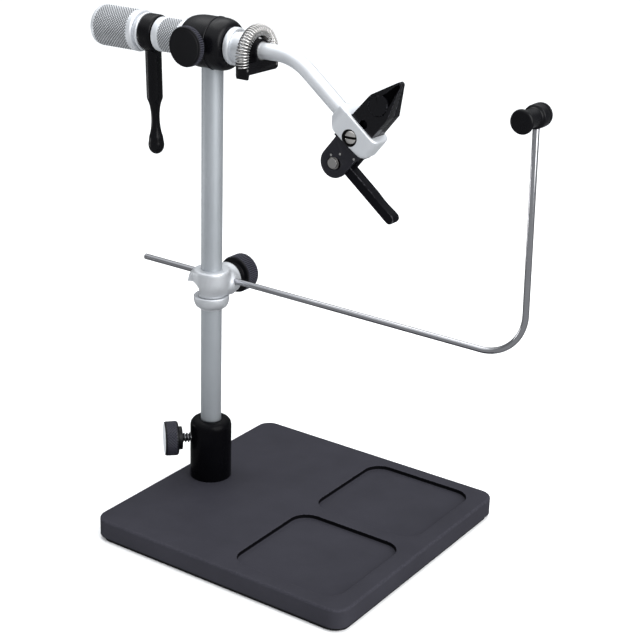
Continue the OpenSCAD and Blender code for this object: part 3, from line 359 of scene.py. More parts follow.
def round_bar(radius, lead, bend_r, angle, run, segments, end):
    """A round bar that leads along +X, bends towards +Z and runs on, its ends chamfered."""
    bm = bmesh.new()
    bmesh.ops.create_circle(bm, cap_ends=True, segments=segments, radius=radius, matrix=ALONG_X)
    face = pulled(bm, bm.faces[:], (lead, 0, 0))[1]
    spun = bmesh.ops.spin(bm, geom=face, cent=(lead, 0, bend_r), axis=(0, -1, 0),
                          angle=angle, steps=28)["geom_last"]
    face = only(spun, bmesh.types.BMFace)
    pulled(bm, face, (run * math.cos(angle), 0, run * math.sin(angle)))
    merged(bm)
    outward(bm)
    rims = [e for e in bm.edges if e.is_manifold and e.calc_face_angle() > math.radians(60)]
    rounded(bm, rims, end, 3)
    return bm


def copied(node):
    """A merged copy of a node's solid in millimetres, its flat faces whole."""
    bm = bmesh.new()
    bm.from_mesh(frame["nodes"][node].data)
    bmesh.ops.scale(bm, vec=(1 / MM, 1 / MM, 1 / MM), verts=bm.verts)
    merged(bm, 0.001)
    bmesh.ops.dissolve_limit(bm, angle_limit=math.radians(0.5), verts=bm.verts, edges=bm.edges)
    return bm


def mark_hollows(bm, painted_shading_amount):
    """Mark how much painted shading each face takes, by what its middle and its normal say."""
    shade = bm.faces.layers.float.new("hollow")
    for face in bm.faces:
        face[shade] = painted_shading_amount(face.calc_center_median(), face.normal)


def mark_wear_and_highlight(bm):
    """Mark the narrow faces of outward bends as worn; the finishes make them lighter, as wear and
    as a painted edge highlight. The shape is in metres by now.
    """
    narrow, least_bend, bend_range = 0.8 * MM, 0.2, 0.15
    wear_and_highlight = bm.faces.layers.float.new("edge_wear_and_highlight")
    for face in bm.faces:
        longest = max(e.calc_length() for e in face.edges)
        if face.calc_area() < narrow * longest:
            bends = [e.calc_face_angle_signed(0) for e in face.edges
                     if e.is_manifold and e.calc_length() > longest / 2]
            bend = max(bends, default=0)
            face[wear_and_highlight] = min(1, max(0, (bend - least_bend) / bend_range))


def set_down(bm, name, where, body, slot, look, *nodes, sharp=32):
    """Turn a shape in millimetres into a piece that rides on a body in place of its nodes."""
    bmesh.ops.transform(bm, matrix=where @ Matrix.Scale(MM, 4), verts=bm.verts)
    mark_wear_and_highlight(bm)
    mesh = bpy.data.meshes.new(name)
    bm.to_mesh(mesh)
    bm.free()
    mesh.polygons.foreach_set("use_smooth", [True] * len(mesh.polygons))
    mesh.set_sharp_from_angle(angle=math.radians(sharp))
    mesh.materials.append(bpy.data.materials[look])
    piece = bpy.data.objects.new(name, mesh)
    bpy.context.scene.collection.objects.link(piece)
    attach(piece, body)
    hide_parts(*nodes)


def add_node(tree, kind, **values):
    """A shader node with values on its inputs, spaces in their names given as underscores."""
    made = tree.nodes.new("ShaderNode" + kind)
    for name, value in values.items():
        made.inputs[name.replace("_", " ")].default_value = value
    return made


def link(tree, source, output, target, name):
    """Link an output to an input, each given by its name or number."""
    tree.links.new(source.outputs[output], target.inputs[name])


def noise(tree, place, scale, detail=4.0, rough=0.6):
    """A noise texture on the piece's own coordinates."""
    made = add_node(tree, "TexNoise", Scale=scale, Detail=detail, Roughness=rough)
    link(tree, place, "Vector", made, "Vector")
    return made


def spread(tree, source, low_value, high_value, from_low=0.3, from_high=0.7):
    """Spread a value between two amounts."""
    made = add_node(tree, "MapRange", From_Min=from_low, From_Max=from_high,
                    To_Min=low_value, To_Max=high_value)
    link(tree, source, 0, made, "Value")
    return made


def attribute(tree, name):
    """One of the marks that the pieces carry."""
    made = add_node(tree, "Attribute")
    made.attribute_name = name
    return made


def colour_output(made):
    """The colour output that a node has in use."""
    return [s for s in made.outputs if s.type == "RGBA" and s.enabled][0]


def blended(tree, share, first, second):
    """Mix two colours, each a colour or a node."""
    made = add_node(tree, "Mix")
    made.data_type = "RGBA"
    link(tree, share, 0, made, "Factor")
    for name, value in (("A", first), ("B", second)):
        socket = [s for s in made.inputs if s.name == name and s.type == "RGBA"][0]
        if isinstance(value, bpy.types.Node):
            tree.links.new(colour_output(value), socket)
        else:
            socket.default_value = (*value, 1)
    return made


def shaded(colour, by):
    """A colour made lighter or darker."""
    return tuple(max(0.0, min(1.0, c * by)) for c in colour)


def finish(name, colour, metallic, rough, grain, depth, stretch=(1, 1, 1), turn=(0, 0, 0),
           mottle=0.12, coarse=60.0, wear_and_highlight=None, wear_rough=0.3, specular=0.5, cells=False,
           hollow=None, painted_shade_specular=1.0):
    """A finish with coarse and fine variation, uneven gloss, a surface grain, worn edges that
    also carry a painted edge highlight, and a painted shading colour on marked faces.
    """
    material = bpy.data.materials.new(name)
    material.use_nodes = True
    tree = material.node_tree
    shader = tree.nodes["Principled BSDF"]
    shader.inputs["Metallic"].default_value = metallic
    shader.inputs["Specular IOR Level"].default_value = specular
    where = add_node(tree, "TexCoord")
    grid = add_node(tree, "Mapping", Scale=stretch, Rotation=turn)
    plain = add_node(tree, "Mapping")
    for mapping in (grid, plain):
        link(tree, where, "Object", mapping, "Vector")

    tone = spread(tree, noise(tree, plain, coarse, 3.0), 0.0, 1.0)
    body = blended(tree, tone, shaded(colour, 1 - mottle), shaded(colour, 1 + mottle))
    fine = noise(tree, grid, grain, 5.0, 0.65)
    speck = spread(tree, fine, 0.0, 0.35, 0.35, 0.75)
    body = blended(tree, speck, body, shaded(colour, 1 + mottle * 2.5))

    # Marked faces take the painted shading colour: painted shade in recesses and a painted
    # highlight on knob ridges, as each finish sets it, and the painted shade can also lower their
    # reflection
    if hollow:
        painted_shading_amount = add_node(tree, "MapRange", From_Min=0.2)
        link(tree, attribute(tree, "hollow"), "Fac", painted_shading_amount, "Value")
        body = blended(tree, painted_shading_amount, body, hollow)
        if painted_shade_specular < 1:
            shade = spread(tree, painted_shading_amount, specular, specular * painted_shade_specular, 0.0, 1.0)
            link(tree, shade, 0, shader, "Specular IOR Level")

    gloss = spread(tree, fine, max(0.02, rough - 0.04), min(1.0, rough + 0.05))
    # Worn edges: lighter as wear and as a painted edge highlight, broken up by a rubbing noise
    if wear_and_highlight:
        rub = spread(tree, noise(tree, plain, 900.0, 4.0, 0.7), 0.0, 1.0, 0.42, 0.62)
        amount = add_node(tree, "Math")
        amount.operation = "MULTIPLY"
        link(tree, attribute(tree, "edge_wear_and_highlight"), "Fac", amount, 0)
        link(tree, rub, 0, amount, 1)
        body = blended(tree, amount, body, wear_and_highlight)
        shine = add_node(tree, "MapRange", To_Max=wear_rough)
        link(tree, amount, 0, shine, "Value")
        link(tree, gloss, 0, shine, "To Min")
        gloss = shine
    tree.links.new(colour_output(body), shader.inputs["Base Color"])
    link(tree, gloss, 0, shader, "Roughness")

    relief = fine
    if cells:
        relief = add_node(tree, "TexVoronoi", Scale=grain, Randomness=1.0)
        link(tree, grid, "Vector", relief, "Vector")
    bump = add_node(tree, "Bump", Strength=1.0, Distance=depth * MM)
    link(tree, relief, 0, bump, "Height")
    link(tree, bump, "Normal", shader, "Normal")
    return material


def make_finishes(colours):
    """All finishes of the vise, in the colours of its settings."""
    coat, pale, dark, grey = (tuple(c) for c in (colours.base_coat, colours.blasted,
                                                 colours.black, colours.post))
    grained = {"stretch": (0.3, 1, 1), "turn": (0, -ARM_ANGLE, 0), "coarse": 140}
    blasted = {"mottle": 0.03, "coarse": 110, "wear_rough": 0.42, "specular": 0.3}
    # Powder coat: its light edges are wear and a painted edge highlight, and the tray walls take
    # a painted shade with less reflection
    finish("Powder coat", coat, 0.0, 0.5, 3200, 0.012, mottle=0.1, coarse=35,
           wear_and_highlight=shaded(coat, 1.8), wear_rough=0.4, specular=0.04, cells=True,
           hollow=shaded(coat, 0.12), painted_shade_specular=0.5)
    finish("Foot rubber", (0.008, 0.008, 0.009), 0.0, 0.85, 2600, 0.08, mottle=0.2, specular=0.1)
    finish("Black anodised", dark, 0.0, 0.28, 3200, 0.003, mottle=0.14, coarse=90,
           wear_and_highlight=shaded(dark, 3.0), wear_rough=0.24, specular=0.16)
    # A darker copy of the black for the socket, with less reflection: painted shade
    finish("Shaded socket black", shaded(dark, 0.6), 0.0, 0.26, 3200, 0.003, mottle=0.14, coarse=90,
           wear_and_highlight=shaded(dark, 3.0), wear_rough=0.24, specular=0.05)
    finish("Black gloss", shaded(dark, 0.8), 0.0, 0.26, 2400, 0.003, mottle=0.15, coarse=90,
           wear_and_highlight=shaded(dark, 2.5), wear_rough=0.2, specular=0.14)
    # Knob black: the ridges of the grooved rims take a painted highlight
    finish("Knob black", shaded(dark, 0.9), 0.0, 0.34, 2800, 0.003, mottle=0.15, coarse=120,
           specular=0.15, hollow=shaded(dark, 13.0))
    # Jaw black: the flutes, the holes and the seats' grooves take a painted shade, with almost no
    # reflection
    finish("Jaw black", dark, 0.0, 0.22, 5000, 0.0006, mottle=0.04, coarse=160,
           wear_and_highlight=(0.06, 0.06, 0.07), wear_rough=0.2, specular=0.2,
           hollow=shaded(dark, 0.2), painted_shade_specular=0.06)
    # Clevis black: the flange under the block takes a painted shade, with less reflection
    finish("Clevis black", shaded(dark, 3.5), 0.0, 0.4, 3000, 0.005, mottle=0.12,
           wear_and_highlight=(0.08, 0.08, 0.09), wear_rough=0.3, specular=0.15,
           hollow=shaded(dark, 0.5), painted_shade_specular=0.2, **grained)
    finish("Lever black", shaded(dark, 1.2), 0.0, 0.3, 3000, 0.003, mottle=0.1,
           wear_and_highlight=(0.06, 0.06, 0.065), wear_rough=0.25, specular=0.04, **grained)
    # Blasted silver: the counterbore round the block's screw takes a painted shade
    finish("Blasted silver", pale, 0.75, 0.5, 5200, 0.008, wear_and_highlight=shaded(pale, 1.1),
           hollow=shaded(pale, 0.05), **blasted)
    # A darker copy of the blasted silver for the bracket and the collar: painted shade
    finish("Shaded blasted silver", shaded(pale, 0.8), 0.75, 0.5, 5200, 0.008, wear_and_highlight=shaded(pale, 1.0),
           **blasted)
    # Knurled silver: the knurl's valleys take a painted shade
    finish("Knurled silver", shaded(pale, 0.9), 0.6, 0.5, 4200, 0.002, mottle=0.03, coarse=140,
           specular=0.3, hollow=shaded(pale, 0.07))
    finish("Brushed disc", shaded(pale, 1.2), 0.4, 0.4, 3200, 0.004, stretch=(1, 1, 0.05),
           mottle=0.05, coarse=200)
    finish("Post silver", grey, 0.7, 0.5, 2600, 0.005, stretch=(1, 1, 0.02), mottle=0.05,
           coarse=45, wear_and_highlight=shaded(grey, 1.3), wear_rough=0.3)
    finish("Polished steel", (0.42, 0.42, 0.44), 1.0, 0.14, 3000, 0.002, stretch=(0.03, 1, 1),
           mottle=0.05, coarse=120)
    finish("Spring steel", (0.5, 0.49, 0.48), 1.0, 0.15, 2200, 0.002, mottle=0.1, coarse=260)
    # Bright steel: the screw's slot takes a painted shade
    finish("Bright steel", (0.7, 0.68, 0.66), 1.0, 0.16, 3000, 0.001, mottle=0.03, coarse=200,
           hollow=(0.02, 0.02, 0.02))
    finish("Satin steel", (0.4, 0.39, 0.38), 1.0, 0.35, 3000, 0.001, mottle=0.02, coarse=200)
    # Zinc steel: a painted shade colour for marked faces
    finish("Zinc steel", (0.50, 0.49, 0.48), 1.0, 0.26, 3200, 0.003, mottle=0.05, coarse=300,
           wear_and_highlight=(0.7, 0.7, 0.7), wear_rough=0.25, hollow=(0.03, 0.03, 0.03))
    # The jaw pin in its hole is black with almost no reflection: painted shade
    finish("Shaded pin black", dark, 0.0, 0.6, 2400, 0.003, mottle=0.1, coarse=150, specular=0.02)
    finish("Dark steel", (0.10, 0.10, 0.105), 1.0, 0.4, 3200, 0.01, mottle=0.2, coarse=200,
           wear_and_highlight=(0.3, 0.3, 0.31), wear_rough=0.3)
    finish("Sintered bronze", (0.42, 0.28, 0.13), 1.0, 0.45, 2600, 0.02, mottle=0.2, cells=True)
    finish("Natural nylon", (0.72, 0.70, 0.64), 0.0, 0.5, 1800, 0.01, mottle=0.06)


class ViseSizes(bpy.types.PropertyGroup):
    """Sizes of the detail that the dressing adds"""

    knurl_pitch: bpy.props.FloatProperty(
        name="Knurl pitch", description="Distance between the ridges of the diamond knurl",
        default=1.6 * MM, min=0.6 * MM, max=2 * MM, precision=5, unit="LENGTH")
    knurl_depth: bpy.props.FloatProperty(
        name="Knurl depth", description="Height of the knurl's points above its valleys",
        default=0.26 * MM, min=0.05 * MM, max=0.5 * MM, precision=5, unit="LENGTH")
    knob_grooves: bpy.props.IntProperty(
        name="Knob grooves", description="Number of grooves around each black knob",
        default=56, min=24, max=96)
    groove_depth: bpy.props.FloatProperty(
        name="Groove depth", description="Depth of the grooves around each black knob",
        default=0.36 * MM, min=0.05 * MM, max=0.6 * MM, precision=5, unit="LENGTH")
    thread_pitch: bpy.props.FloatProperty(
        name="Thread pitch", description="Pitch of the thumb screw's thread",
        default=1.6 * MM, min=0.7 * MM, max=2 * MM, precision=5, unit="LENGTH")
    spring_turns: bpy.props.IntProperty(
        name="Spring turns", description="Number of turns in the material spring",
        default=35, min=20, max=60)
    spring_wire: bpy.props.FloatProperty(
        name="Spring wire", description="Radius of the material spring's wire",
        default=0.36 * MM, min=0.15 * MM, max=0.45 * MM, precision=5, unit="LENGTH")
    tray_fillet: bpy.props.FloatProperty(
        name="Tray fillet", description="Radius where a tray's wall runs into its floor",
        default=1.0 * MM, min=0.4 * MM, max=2 * MM, precision=5, unit="LENGTH")


class ViseColours(bpy.types.PropertyGroup):
    """Colours of the finishes"""

    base_coat: bpy.props.FloatVectorProperty(
        name="Base coat", description="Powder coat of the base plate", subtype="COLOR",
        default=(0.0275, 0.027, 0.034), min=0, max=1)
    black: bpy.props.FloatVectorProperty(
        name="Black", description="Anodised and painted black pieces", subtype="COLOR",
        default=(0.0028, 0.0028, 0.0038), min=0, max=1)
    blasted: bpy.props.FloatVectorProperty(
        name="Blasted silver", description="Bead blasted and knurled aluminium", subtype="COLOR",
        default=(0.70, 0.72, 0.75), min=0, max=1)
    post: bpy.props.FloatVectorProperty(
        name="Post", description="Satin metal of the post", subtype="COLOR",
        default=(0.39, 0.415, 0.44), min=0, max=1)


class VISE_OT_stage(bpy.types.Operator):
    """Set up the camera, the pale floor and the soft studio light"""

    bl_idname = "vise.stage"
    bl_label = "Camera, floor and light"

    # The camera of the photo, and its lens and sensor in millimetres
    EYE = (0.46303, -0.58827, 0.39382)
    RIGHT = (0.82433, 0.56529, 0.03044)
    UP = (-0.22707, 0.28092, 0.93248)
    LENS, SENSOR = 84.375, 36
    FLOOR_RADIUS = 3
    SKY = (0.95, 0.975, 1.0, 1)
    # The room is brighter on one side and overhead: direction, then the range of facing
    # and the strengths that it is spread over
    ROOM = (((0.60, -0.77, 0), (-0.5, 0.6, 0.22, 0.46)), ((0, 0, 1), (0.3, 0.75, 0.0, 1.0)))
    # Name, place, target, size and power
    LAMPS = (("Key", (1.10, -0.20, 0.70), (0.05, 0, 0.12), 1.3, 16),
             ("Top", (-0.15, 0.2, 1.2), (0.05, 0, 0.1), 1.2, 7),
             ("Low side", (-0.5, -0.2, 0.06), (0, 0, 0.035), 0.16, 0.35))

    def camera(self, scene):
        """The camera at the photo's angle and distance."""
        lens = bpy.data.cameras.new("Photo camera")
        lens.sensor_width = self.SENSOR
        lens.lens = self.LENS
        lens.clip_start = 0.02
        camera = bpy.data.objects.new("Photo camera", lens)
        right, up = Vector(self.RIGHT), Vector(self.UP)
        back = right.cross(up).normalized()
        up = back.cross(right).normalized()
        axes = Matrix((right.normalized(), up, back)).transposed().to_4x4()
        camera.matrix_world = Matrix.Translation(self.EYE) @ axes
        scene.collection.objects.link(camera)
        scene.camera = camera

    def floor(self, scene):
        """A round pale floor."""
        bm = bmesh.new()
        bmesh.ops.create_circle(bm, cap_ends=True, segments=96, radius=self.FLOOR_RADIUS)
        mesh = bpy.data.meshes.new("Floor")
        bm.to_mesh(mesh)
        bm.free()
        floor = bpy.data.objects.new("Floor", mesh)
        scene.collection.objects.link(floor)
        mesh.materials.append(
            finish("Pale floor", (0.95, 0.95, 0.95), 0.0, 0.8, 60, 0.0, mottle=0.01, coarse=6,
                   specular=0.0))
        floor.visible_glossy = False

    def room(self, scene):
        """Uneven light all round, which the camera itself sees as an even pale sky."""
        world = bpy.data.worlds.new("Studio")
        world.use_nodes = True
        tree = world.node_tree
        sky = tree.nodes["Background"]
        sky.inputs["Color"].default_value = self.SKY
        way = add_node(tree, "TexCoord")
        total = add_node(tree, "Math")
        total.operation = "ADD"
        for place, (towards, (least, most, dim, bright)) in enumerate(self.ROOM):
            facing = add_node(tree, "VectorMath")
            facing.operation = "DOT_PRODUCT"
            facing.inputs[1].default_value = towards
            link(tree, way, "Generated", facing, 0)
            strength = add_node(tree, "MapRange", From_Min=least, From_Max=most,
                                To_Min=dim, To_Max=bright)
            strength.interpolation_type = "SMOOTHSTEP"
            link(tree, facing, "Value", strength, "Value")
            link(tree, strength, 0, total, place)
        seen = add_node(tree, "LightPath")
        shown = add_node(tree, "Mix", B=1.0)
        link(tree, seen, "Is Camera Ray", shown, "Factor")
        link(tree, total, 0, shown, "A")
        link(tree, shown, "Result", sky, "Strength")
        scene.world = world

    def lamps(self, scene):
        """Soft round lamps, each turned to its target."""
        for name, place, aim, size, power in self.LAMPS:
            lamp = bpy.data.lights.new(name, "AREA")
            lamp.shape = "DISK"
            lamp.size = size
            lamp.energy = power
            holder = bpy.data.objects.new(name, lamp)
            track = (Vector(aim) - Vector(place)).to_track_quat("-Z", "Y")
            holder.matrix_world = Matrix.Translation(place) @ track.to_matrix().to_4x4()
            scene.collection.objects.link(holder)

    def execute(self, context):
        scene = context.scene
        self.camera(scene)
        self.floor(scene)
        scene.view_settings.view_transform = "Standard"
        self.room(scene)
        self.lamps(scene)
        return {"FINISHED"}


class VISE_OT_finishes(bpy.types.Operator):
    """Make the finishes and put them on the solids that stay as they are"""

    bl_idname = "vise.finishes"
    bl_label = "Finishes"

    LOOKS = {
        "base_coat": "Powder coat", "pad_rubber": "Foot rubber", "black_metal": "Black anodised",
        "zinc_steel": "Zinc steel", "dark_steel": "Dark steel", "post_metal": "Post silver",
        "blasted_metal": "Blasted silver", "knurled_metal": "Knurled silver",
        "polished_rod": "Polished steel", "spring_steel": "Spring steel",
        "knob_plastic": "Knob black", "black_gloss": "Black gloss",
        "bush_bronze": "Sintered bronze", "nylon_pad": "Natural nylon", "jaw_steel": "Jaw black",
    }

    def execute(self, context):
        make_finishes(context.scene.vise_colours)
        slots = {s["node"]: s["material_slot"] for s in frame["record"]["subparts"]}
        for node, solid in frame["nodes"].items():
            # The jaw pin takes the black of a painted shade
            look = "Shaded pin black" if node == "jaw_pin" else self.LOOKS[slots[node]]
            solid.data.materials.clear()
            solid.data.materials.append(bpy.data.materials[look])
        return {"FINISHED"}


class VISE_OT_base_plate(bpy.types.Operator):
    """Base plate with rounded edges and two trays with filleted floors"""

    bl_idname = "vise.base_plate"
    bl_label = "Base plate"

    def execute(self, context):
        corner, edge, bolt_r, bolt_top = 8, 1.2, 6.6, 7.8
        tray_w, tray_sink, tray_margin, tray_y = 63.1, 2.6, 9.7, 36.05
        lip, draft, mouth, mouth_corner = 0.25, 0.02, (63.9, 64.3), 10.4
        outer_band, below_floor, wall_slope = 4, 0.1, 0.6
        fillet = context.scene.vise_sizes.tray_fillet / MM
        x0, x1 = low("base_plate", 0), high("base_plate", 0)
        mid, depth = (x0 + x1) / 2, high("base_plate", 1) * 2
        bottom, top = low("base_plate", 2), high("base_plate", 2)
        bm = plate(x1 - x0, depth, bottom, top - edge, (corner,) * 4)
        lid = [f for f in bm.faces if f.normal.z > 0.9 and f.calc_center_median().z > bottom + 1]
        for inwards, upwards in quarter(edge, 6):
            bmesh.ops.inset_region(bm, faces=lid, thickness=inwards, depth=upwards,
                                   use_even_offset=True)
        rim = list(lid[0].edges)
        bmesh.ops.delete(bm, geom=lid, context="FACES_ONLY")
        tray_x = x1 - tray_margin - tray_w / 2 - mid
        trays = []
        for side in (-1, 1):
            tray = sheet(shift(tray_x, side * tray_y, top), *mouth)
            for vert in tray.verts[:]:
                rounded(tray, [vert], mouth_corner, 12, "VERTICES")
            before = set(bm.faces)
            poured(tray, bm)
            trays.append([f for f in bm.faces if f not in before])
        loops = [e for faces in trays for e in faces[0].edges]
        bmesh.ops.triangle_fill(bm, use_beauty=True, use_dissolve=False,
                                edges=[e for e in rim if e.is_valid] + loops, normal=(0, 0, 1))
        steps = [(upwards, -inwards) for inwards, upwards in quarter(lip, 5)]
        steps.append((draft, -(tray_sink - lip - fillet)))
        steps += [(inwards, -upwards) for inwards, upwards in quarter(fillet, 6)]
        for faces in trays:
            for thickness, sink in steps:
                bmesh.ops.inset_region(bm, faces=faces, thickness=thickness, depth=sink,
                                       use_even_offset=True)
        merged(bm, 0.001)
        outward(bm)
        bm = cut(bm, moved(pipe(bolt_r, bottom - 1, bolt_top), shift(-mid, 0, 0)))
        bm.normal_update()
        reach_x, reach_y = (x1 - x0) / 2 - outer_band, depth / 2 - outer_band
        # The steep tray walls take a painted shade
        mark_hollows(bm, lambda p, normal: abs(p.x) < reach_x and abs(p.y) < reach_y
                     and p.z > top - tray_sink - below_floor and normal.z < wall_slope)
        set_down(bm, "tray_base", at(mid, 0, 0), "base", "base_coat", "Powder coat",
                 "base_plate", sharp=40)
        return {"FINISHED"}


class VISE_OT_post_parts(bpy.types.Operator):
    """Socket, post and stop collar"""

    bl_idname = "vise.post_parts"
    bl_label = "Socket, post and collar"

    def execute(self, context):
        socket_r, post_r, thread_hole, bolt_r = 11.3, 5.55, 2.85, 4.1
        floor_rise, bolt_rise = 9.2, 8.4
        bottom, top = low("post_socket", 2), high("post_socket", 2)
        floor = bottom + floor_rise
        bm = turned([(0, bottom), (socket_r, bottom, 0.3), (socket_r, top, 4), (6.1, top, 0.35),
                     (POST_BORE, top - 0.9, 0.2), (POST_BORE, floor), (0, floor)])
        bm = cut(bm, moved(pipe(thread_hole, 4, 14), shift(0, 0, CLAMP_Z) @ ALONG_CLAMP),
                 pipe(bolt_r, bottom - 1, bottom + bolt_rise))
        set_down(bm, "round_socket", at(0, 0, 0), "base", "black_metal", "Shaded socket black",
                 "post_socket")
        bottom, top = low("post", 2), high("post", 2)
        bm = turned([(0, bottom), (post_r, bottom, 0.6), (post_r, top, 0.6), (0, top)])
        set_down(bm, "round_post", at(0, 0, 0), "post", "post_metal", "Post silver", "post")
        z0, z1 = low("stop_collar", 2), high("stop_collar", 2)
        bowl = arc(6.9, z1 - 1.5, 2.55, z1 - z0 - 2.6, -78, 0, 14)
        bm = turned([(POST_BORE, z0), (6.2, z0, 0.15), (6.2, z0 + 0.95, 0.05),
                     (6.9, z0 + 1.0, 0.1)] + bowl
                    + [(9.45, z1 - 0.35, 0.2), (9.1, z1, 0.1), (POST_BORE, z1)], ring=True)
        bm = cut(bm, moved(pipe(1.6, 4, 12, 32), shift(0, 0, (z0 + z1) / 2) @ ALONG_Y))
        set_down(bm, "flared_collar", at(0, 0, 0), "stop_collar", "blasted_metal",
                 "Shaded blasted silver", "stop_collar", sharp=24)
        return {"FINISHED"}


class VISE_OT_thumb_screw(bpy.types.Operator):
    """Thumb screw of the socket: thread, knurled knob and bright disc"""

    bl_idname = "vise.thumb_screw"
    bl_label = "Thumb screw"

    def execute(self, context):
        core_r, root_r, crest_r = 1.75, 1.7, 2.8
        core_start, core_end, thread_start, thread_turns = 5.85, 21.8, 8.2, 6
        pitch = context.scene.vise_sizes.thread_pitch / MM
        core = turned([(0, core_start), (core_r, core_start), (core_r, core_end),
                       (0, core_end)], 32)
        tooth = helix([(root_r, 0), (crest_r, pitch * 0.42), (crest_r, pitch * 0.58),
                       (root_r, pitch)], thread_turns, pitch, 32)
        bm = joined(core, moved(tooth, shift(0, 0, thread_start)))
        set_down(bm, "thumb_thread", ON_CLAMP, "clamp_knob", "zinc_steel", "Dark steel",
                 "clamp_stud", sharp=50)
        steps, rows = 72, 8
        z0, z1, r = 18.0, 25.5, 9.2
        rim = [(r, z0 + 0.5 + (z1 - z0 - 1.0) * i / rows) for i in range(rows + 1)]
        bm = turned([(0, 15.8), (6.4, 15.8, 0.4), (6.4, z0, 0.2), (r - 0.6, z0, 0.15)] + rim
                    + [(r - 0.3, z1, 0.1), (8.85, z1), (8.7, z1 - 0.45), (0, z1 - 0.45)], steps)
        knurl(bm, z0 + 0.5, z1 - 0.5, steps, 0.3)
        bm = cut(bm, pipe(crest_r, 15, 21.9))
        set_down(bm, "thumb_knob", ON_CLAMP, "clamp_knob", "knob_plastic", "Knob black",
                 "clamp_knob", sharp=24)
        bm = turned([(0, z1 - 0.4), (8.6, z1 - 0.4), (8.6, z1 + 0.05, 0.2), (8.0, z1 + 0.2, 0.2),
                     (0, z1 + 0.2)], steps)
        set_down(bm, "thumb_disc", ON_CLAMP, "clamp_knob", "zinc_steel", "Brushed disc",
                 "clamp_knob_cap")
        return {"FINISHED"}


class VISE_OT_grooved_knobs(bpy.types.Operator):
    """Brake knob and cradle knob with grooved rims"""

    bl_idname = "vise.grooved_knobs"
    bl_label = "Grooved knobs"

    def execute(self, context):
        knob_r, groove_from, stud_hole, every = 10, 9.8, 2.55, 3
        sizes = context.scene.vise_sizes
        steps = sizes.knob_grooves * every
        depth = sizes.groove_depth / MM
        face = -low("brake_knob", 1)
        z0 = face - 3.8
        bm = turned([(0, 13.8), (6.2, 13.8, 0.3), (6.2, z0, 0.4), (9.3, z0, 0.3),
                     (knob_r, z0 + 0.6), (knob_r, face - 0.7), (9.35, face, 0.25), (8.7, face),
                     (8.3, face - 0.12, 0.1), (0, face - 0.12)], steps)
        ribbed(bm, z0 + 0.4, face - 0.4, groove_from, steps, every, depth)
        bm = cut(bm, pipe(stud_hole, 13, 20.7))
        set_down(bm, "brake_wheel", ON_BRAKE, "brake_knob", "knob_plastic", "Knob black",
                 "brake_knob", sharp=24)
        z0, z1 = 19.7, high("bracket_knob", 1)
        bm = turned([(0, 15.3), (6.6, 15.3, 0.3), (6.6, z0, 0.5), (9.1, z0, 0.4),
                     (knob_r, z0 + 0.9), (knob_r, z1 - 0.9), (9.1, z1, 0.4), (6.8, z1, 0.3),
                     (6.2, z1 - 0.9, 0.3), (0, z1 - 0.9)], steps)
        ribbed(bm, z0 + 0.6, z1 - 0.6, groove_from, steps, every, depth)
        bm = cut(bm, pipe(stud_hole, 15, 24.4))
        set_down(bm, "cradle_wheel", ON_BRACKET, "bracket_knob", "knob_plastic", "Knob black",
                 "bracket_knob", sharp=24)
        return {"FINISHED"}


class VISE_OT_cradle_bracket(bpy.types.Operator):
    """Cast bracket with its horn, notch and clamping boss"""

    bl_idname = "vise.cradle_bracket"
    bl_label = "Cradle bracket"

    def execute(self, context):
        horn_half, rod_hole, stud_hole, grain, rounds = 3.4, 1.68, 2.56, 0.32, 60
        foot, top = low("cradle_bracket", 2), high("cradle_bracket", 2)
        to_horn = around("Z", 214)
        on_boss = shift(0, 0, BRACKET_Z) @ ALONG_Y
        flat = Matrix.Diagonal((1, 0.77, 1, 1))
        ring = turned([(0, foot - 1.2), (7.5, foot - 1.2), (9.9, foot + 5.5, 2),
                       (9.9, top + 0.45, 1.0), (0, top + 0.45)])
        boss = turned([(0, 1), (8.7, 1), (8.7, 15.3, 0.6), (0, 15.3)])
        shoulder = turned([(0, 2), (9.2, 2), (10.6, 5), (11.2, 7.5), (10.6, 10), (8.6, 13.8),
                           (0, 13.8)])
        outline = [(-2, 3.6), (12.6, 3.6), (12.5, 8.2), (11.9, 10.6), (10.8, 12.3), (9.2, 12.9),
                   (-2, 12.9)]
        horn = slab([(r, foot + z) for r, z in outline], -horn_half, horn_half)
        outward(horn)
        bm = cast(joined(ring, moved(boss, on_boss), moved(shoulder, on_boss @ flat),
                         moved(horn, to_horn)), grain, rounds)
        below = brick(-20, 20, -20, 20, foot - 10, foot)
        above = brick(-20, 20, -20, 20, top + 0.9, top + 10)
        post_bore = pipe(POST_BORE, foot - 1, top + 2, 96)
        notch = moved(pipe(5.0, -14, 14, 96), to_horn @ shift(10.7, 0, foot + 3.1) @ ALONG_Y)
        notch_end = moved(brick(10.6, 24, -14, 14, foot - 8, foot + 7), to_horn)
        on_rod = shift(0, ROD_Y, foot + ROD_RISE) @ around("Y", ROD_TILT) @ ALONG_X
        rod_bore = moved(pipe(rod_hole, -30, 30, 48), on_rod)
        flare = moved(turned([(0, 0), (2.3, 0), (rod_hole, -0.6), (0, -0.6)], 48),
                      shift(11.2, ROD_Y, foot + 7.4) @ ALONG_X)
        stud_bore = moved(pipe(stud_hole, 7.5, 20, 48), on_boss)
        bm = cut(bm, below, above, post_bore, notch, notch_end, rod_bore, flare, stud_bore)
        set_down(bm, "cast_bracket", at(0, 0, 0), "cradle_bracket", "blasted_metal",
                 "Shaded blasted silver", "cradle_bracket", sharp=40)
        return {"FINISHED"}


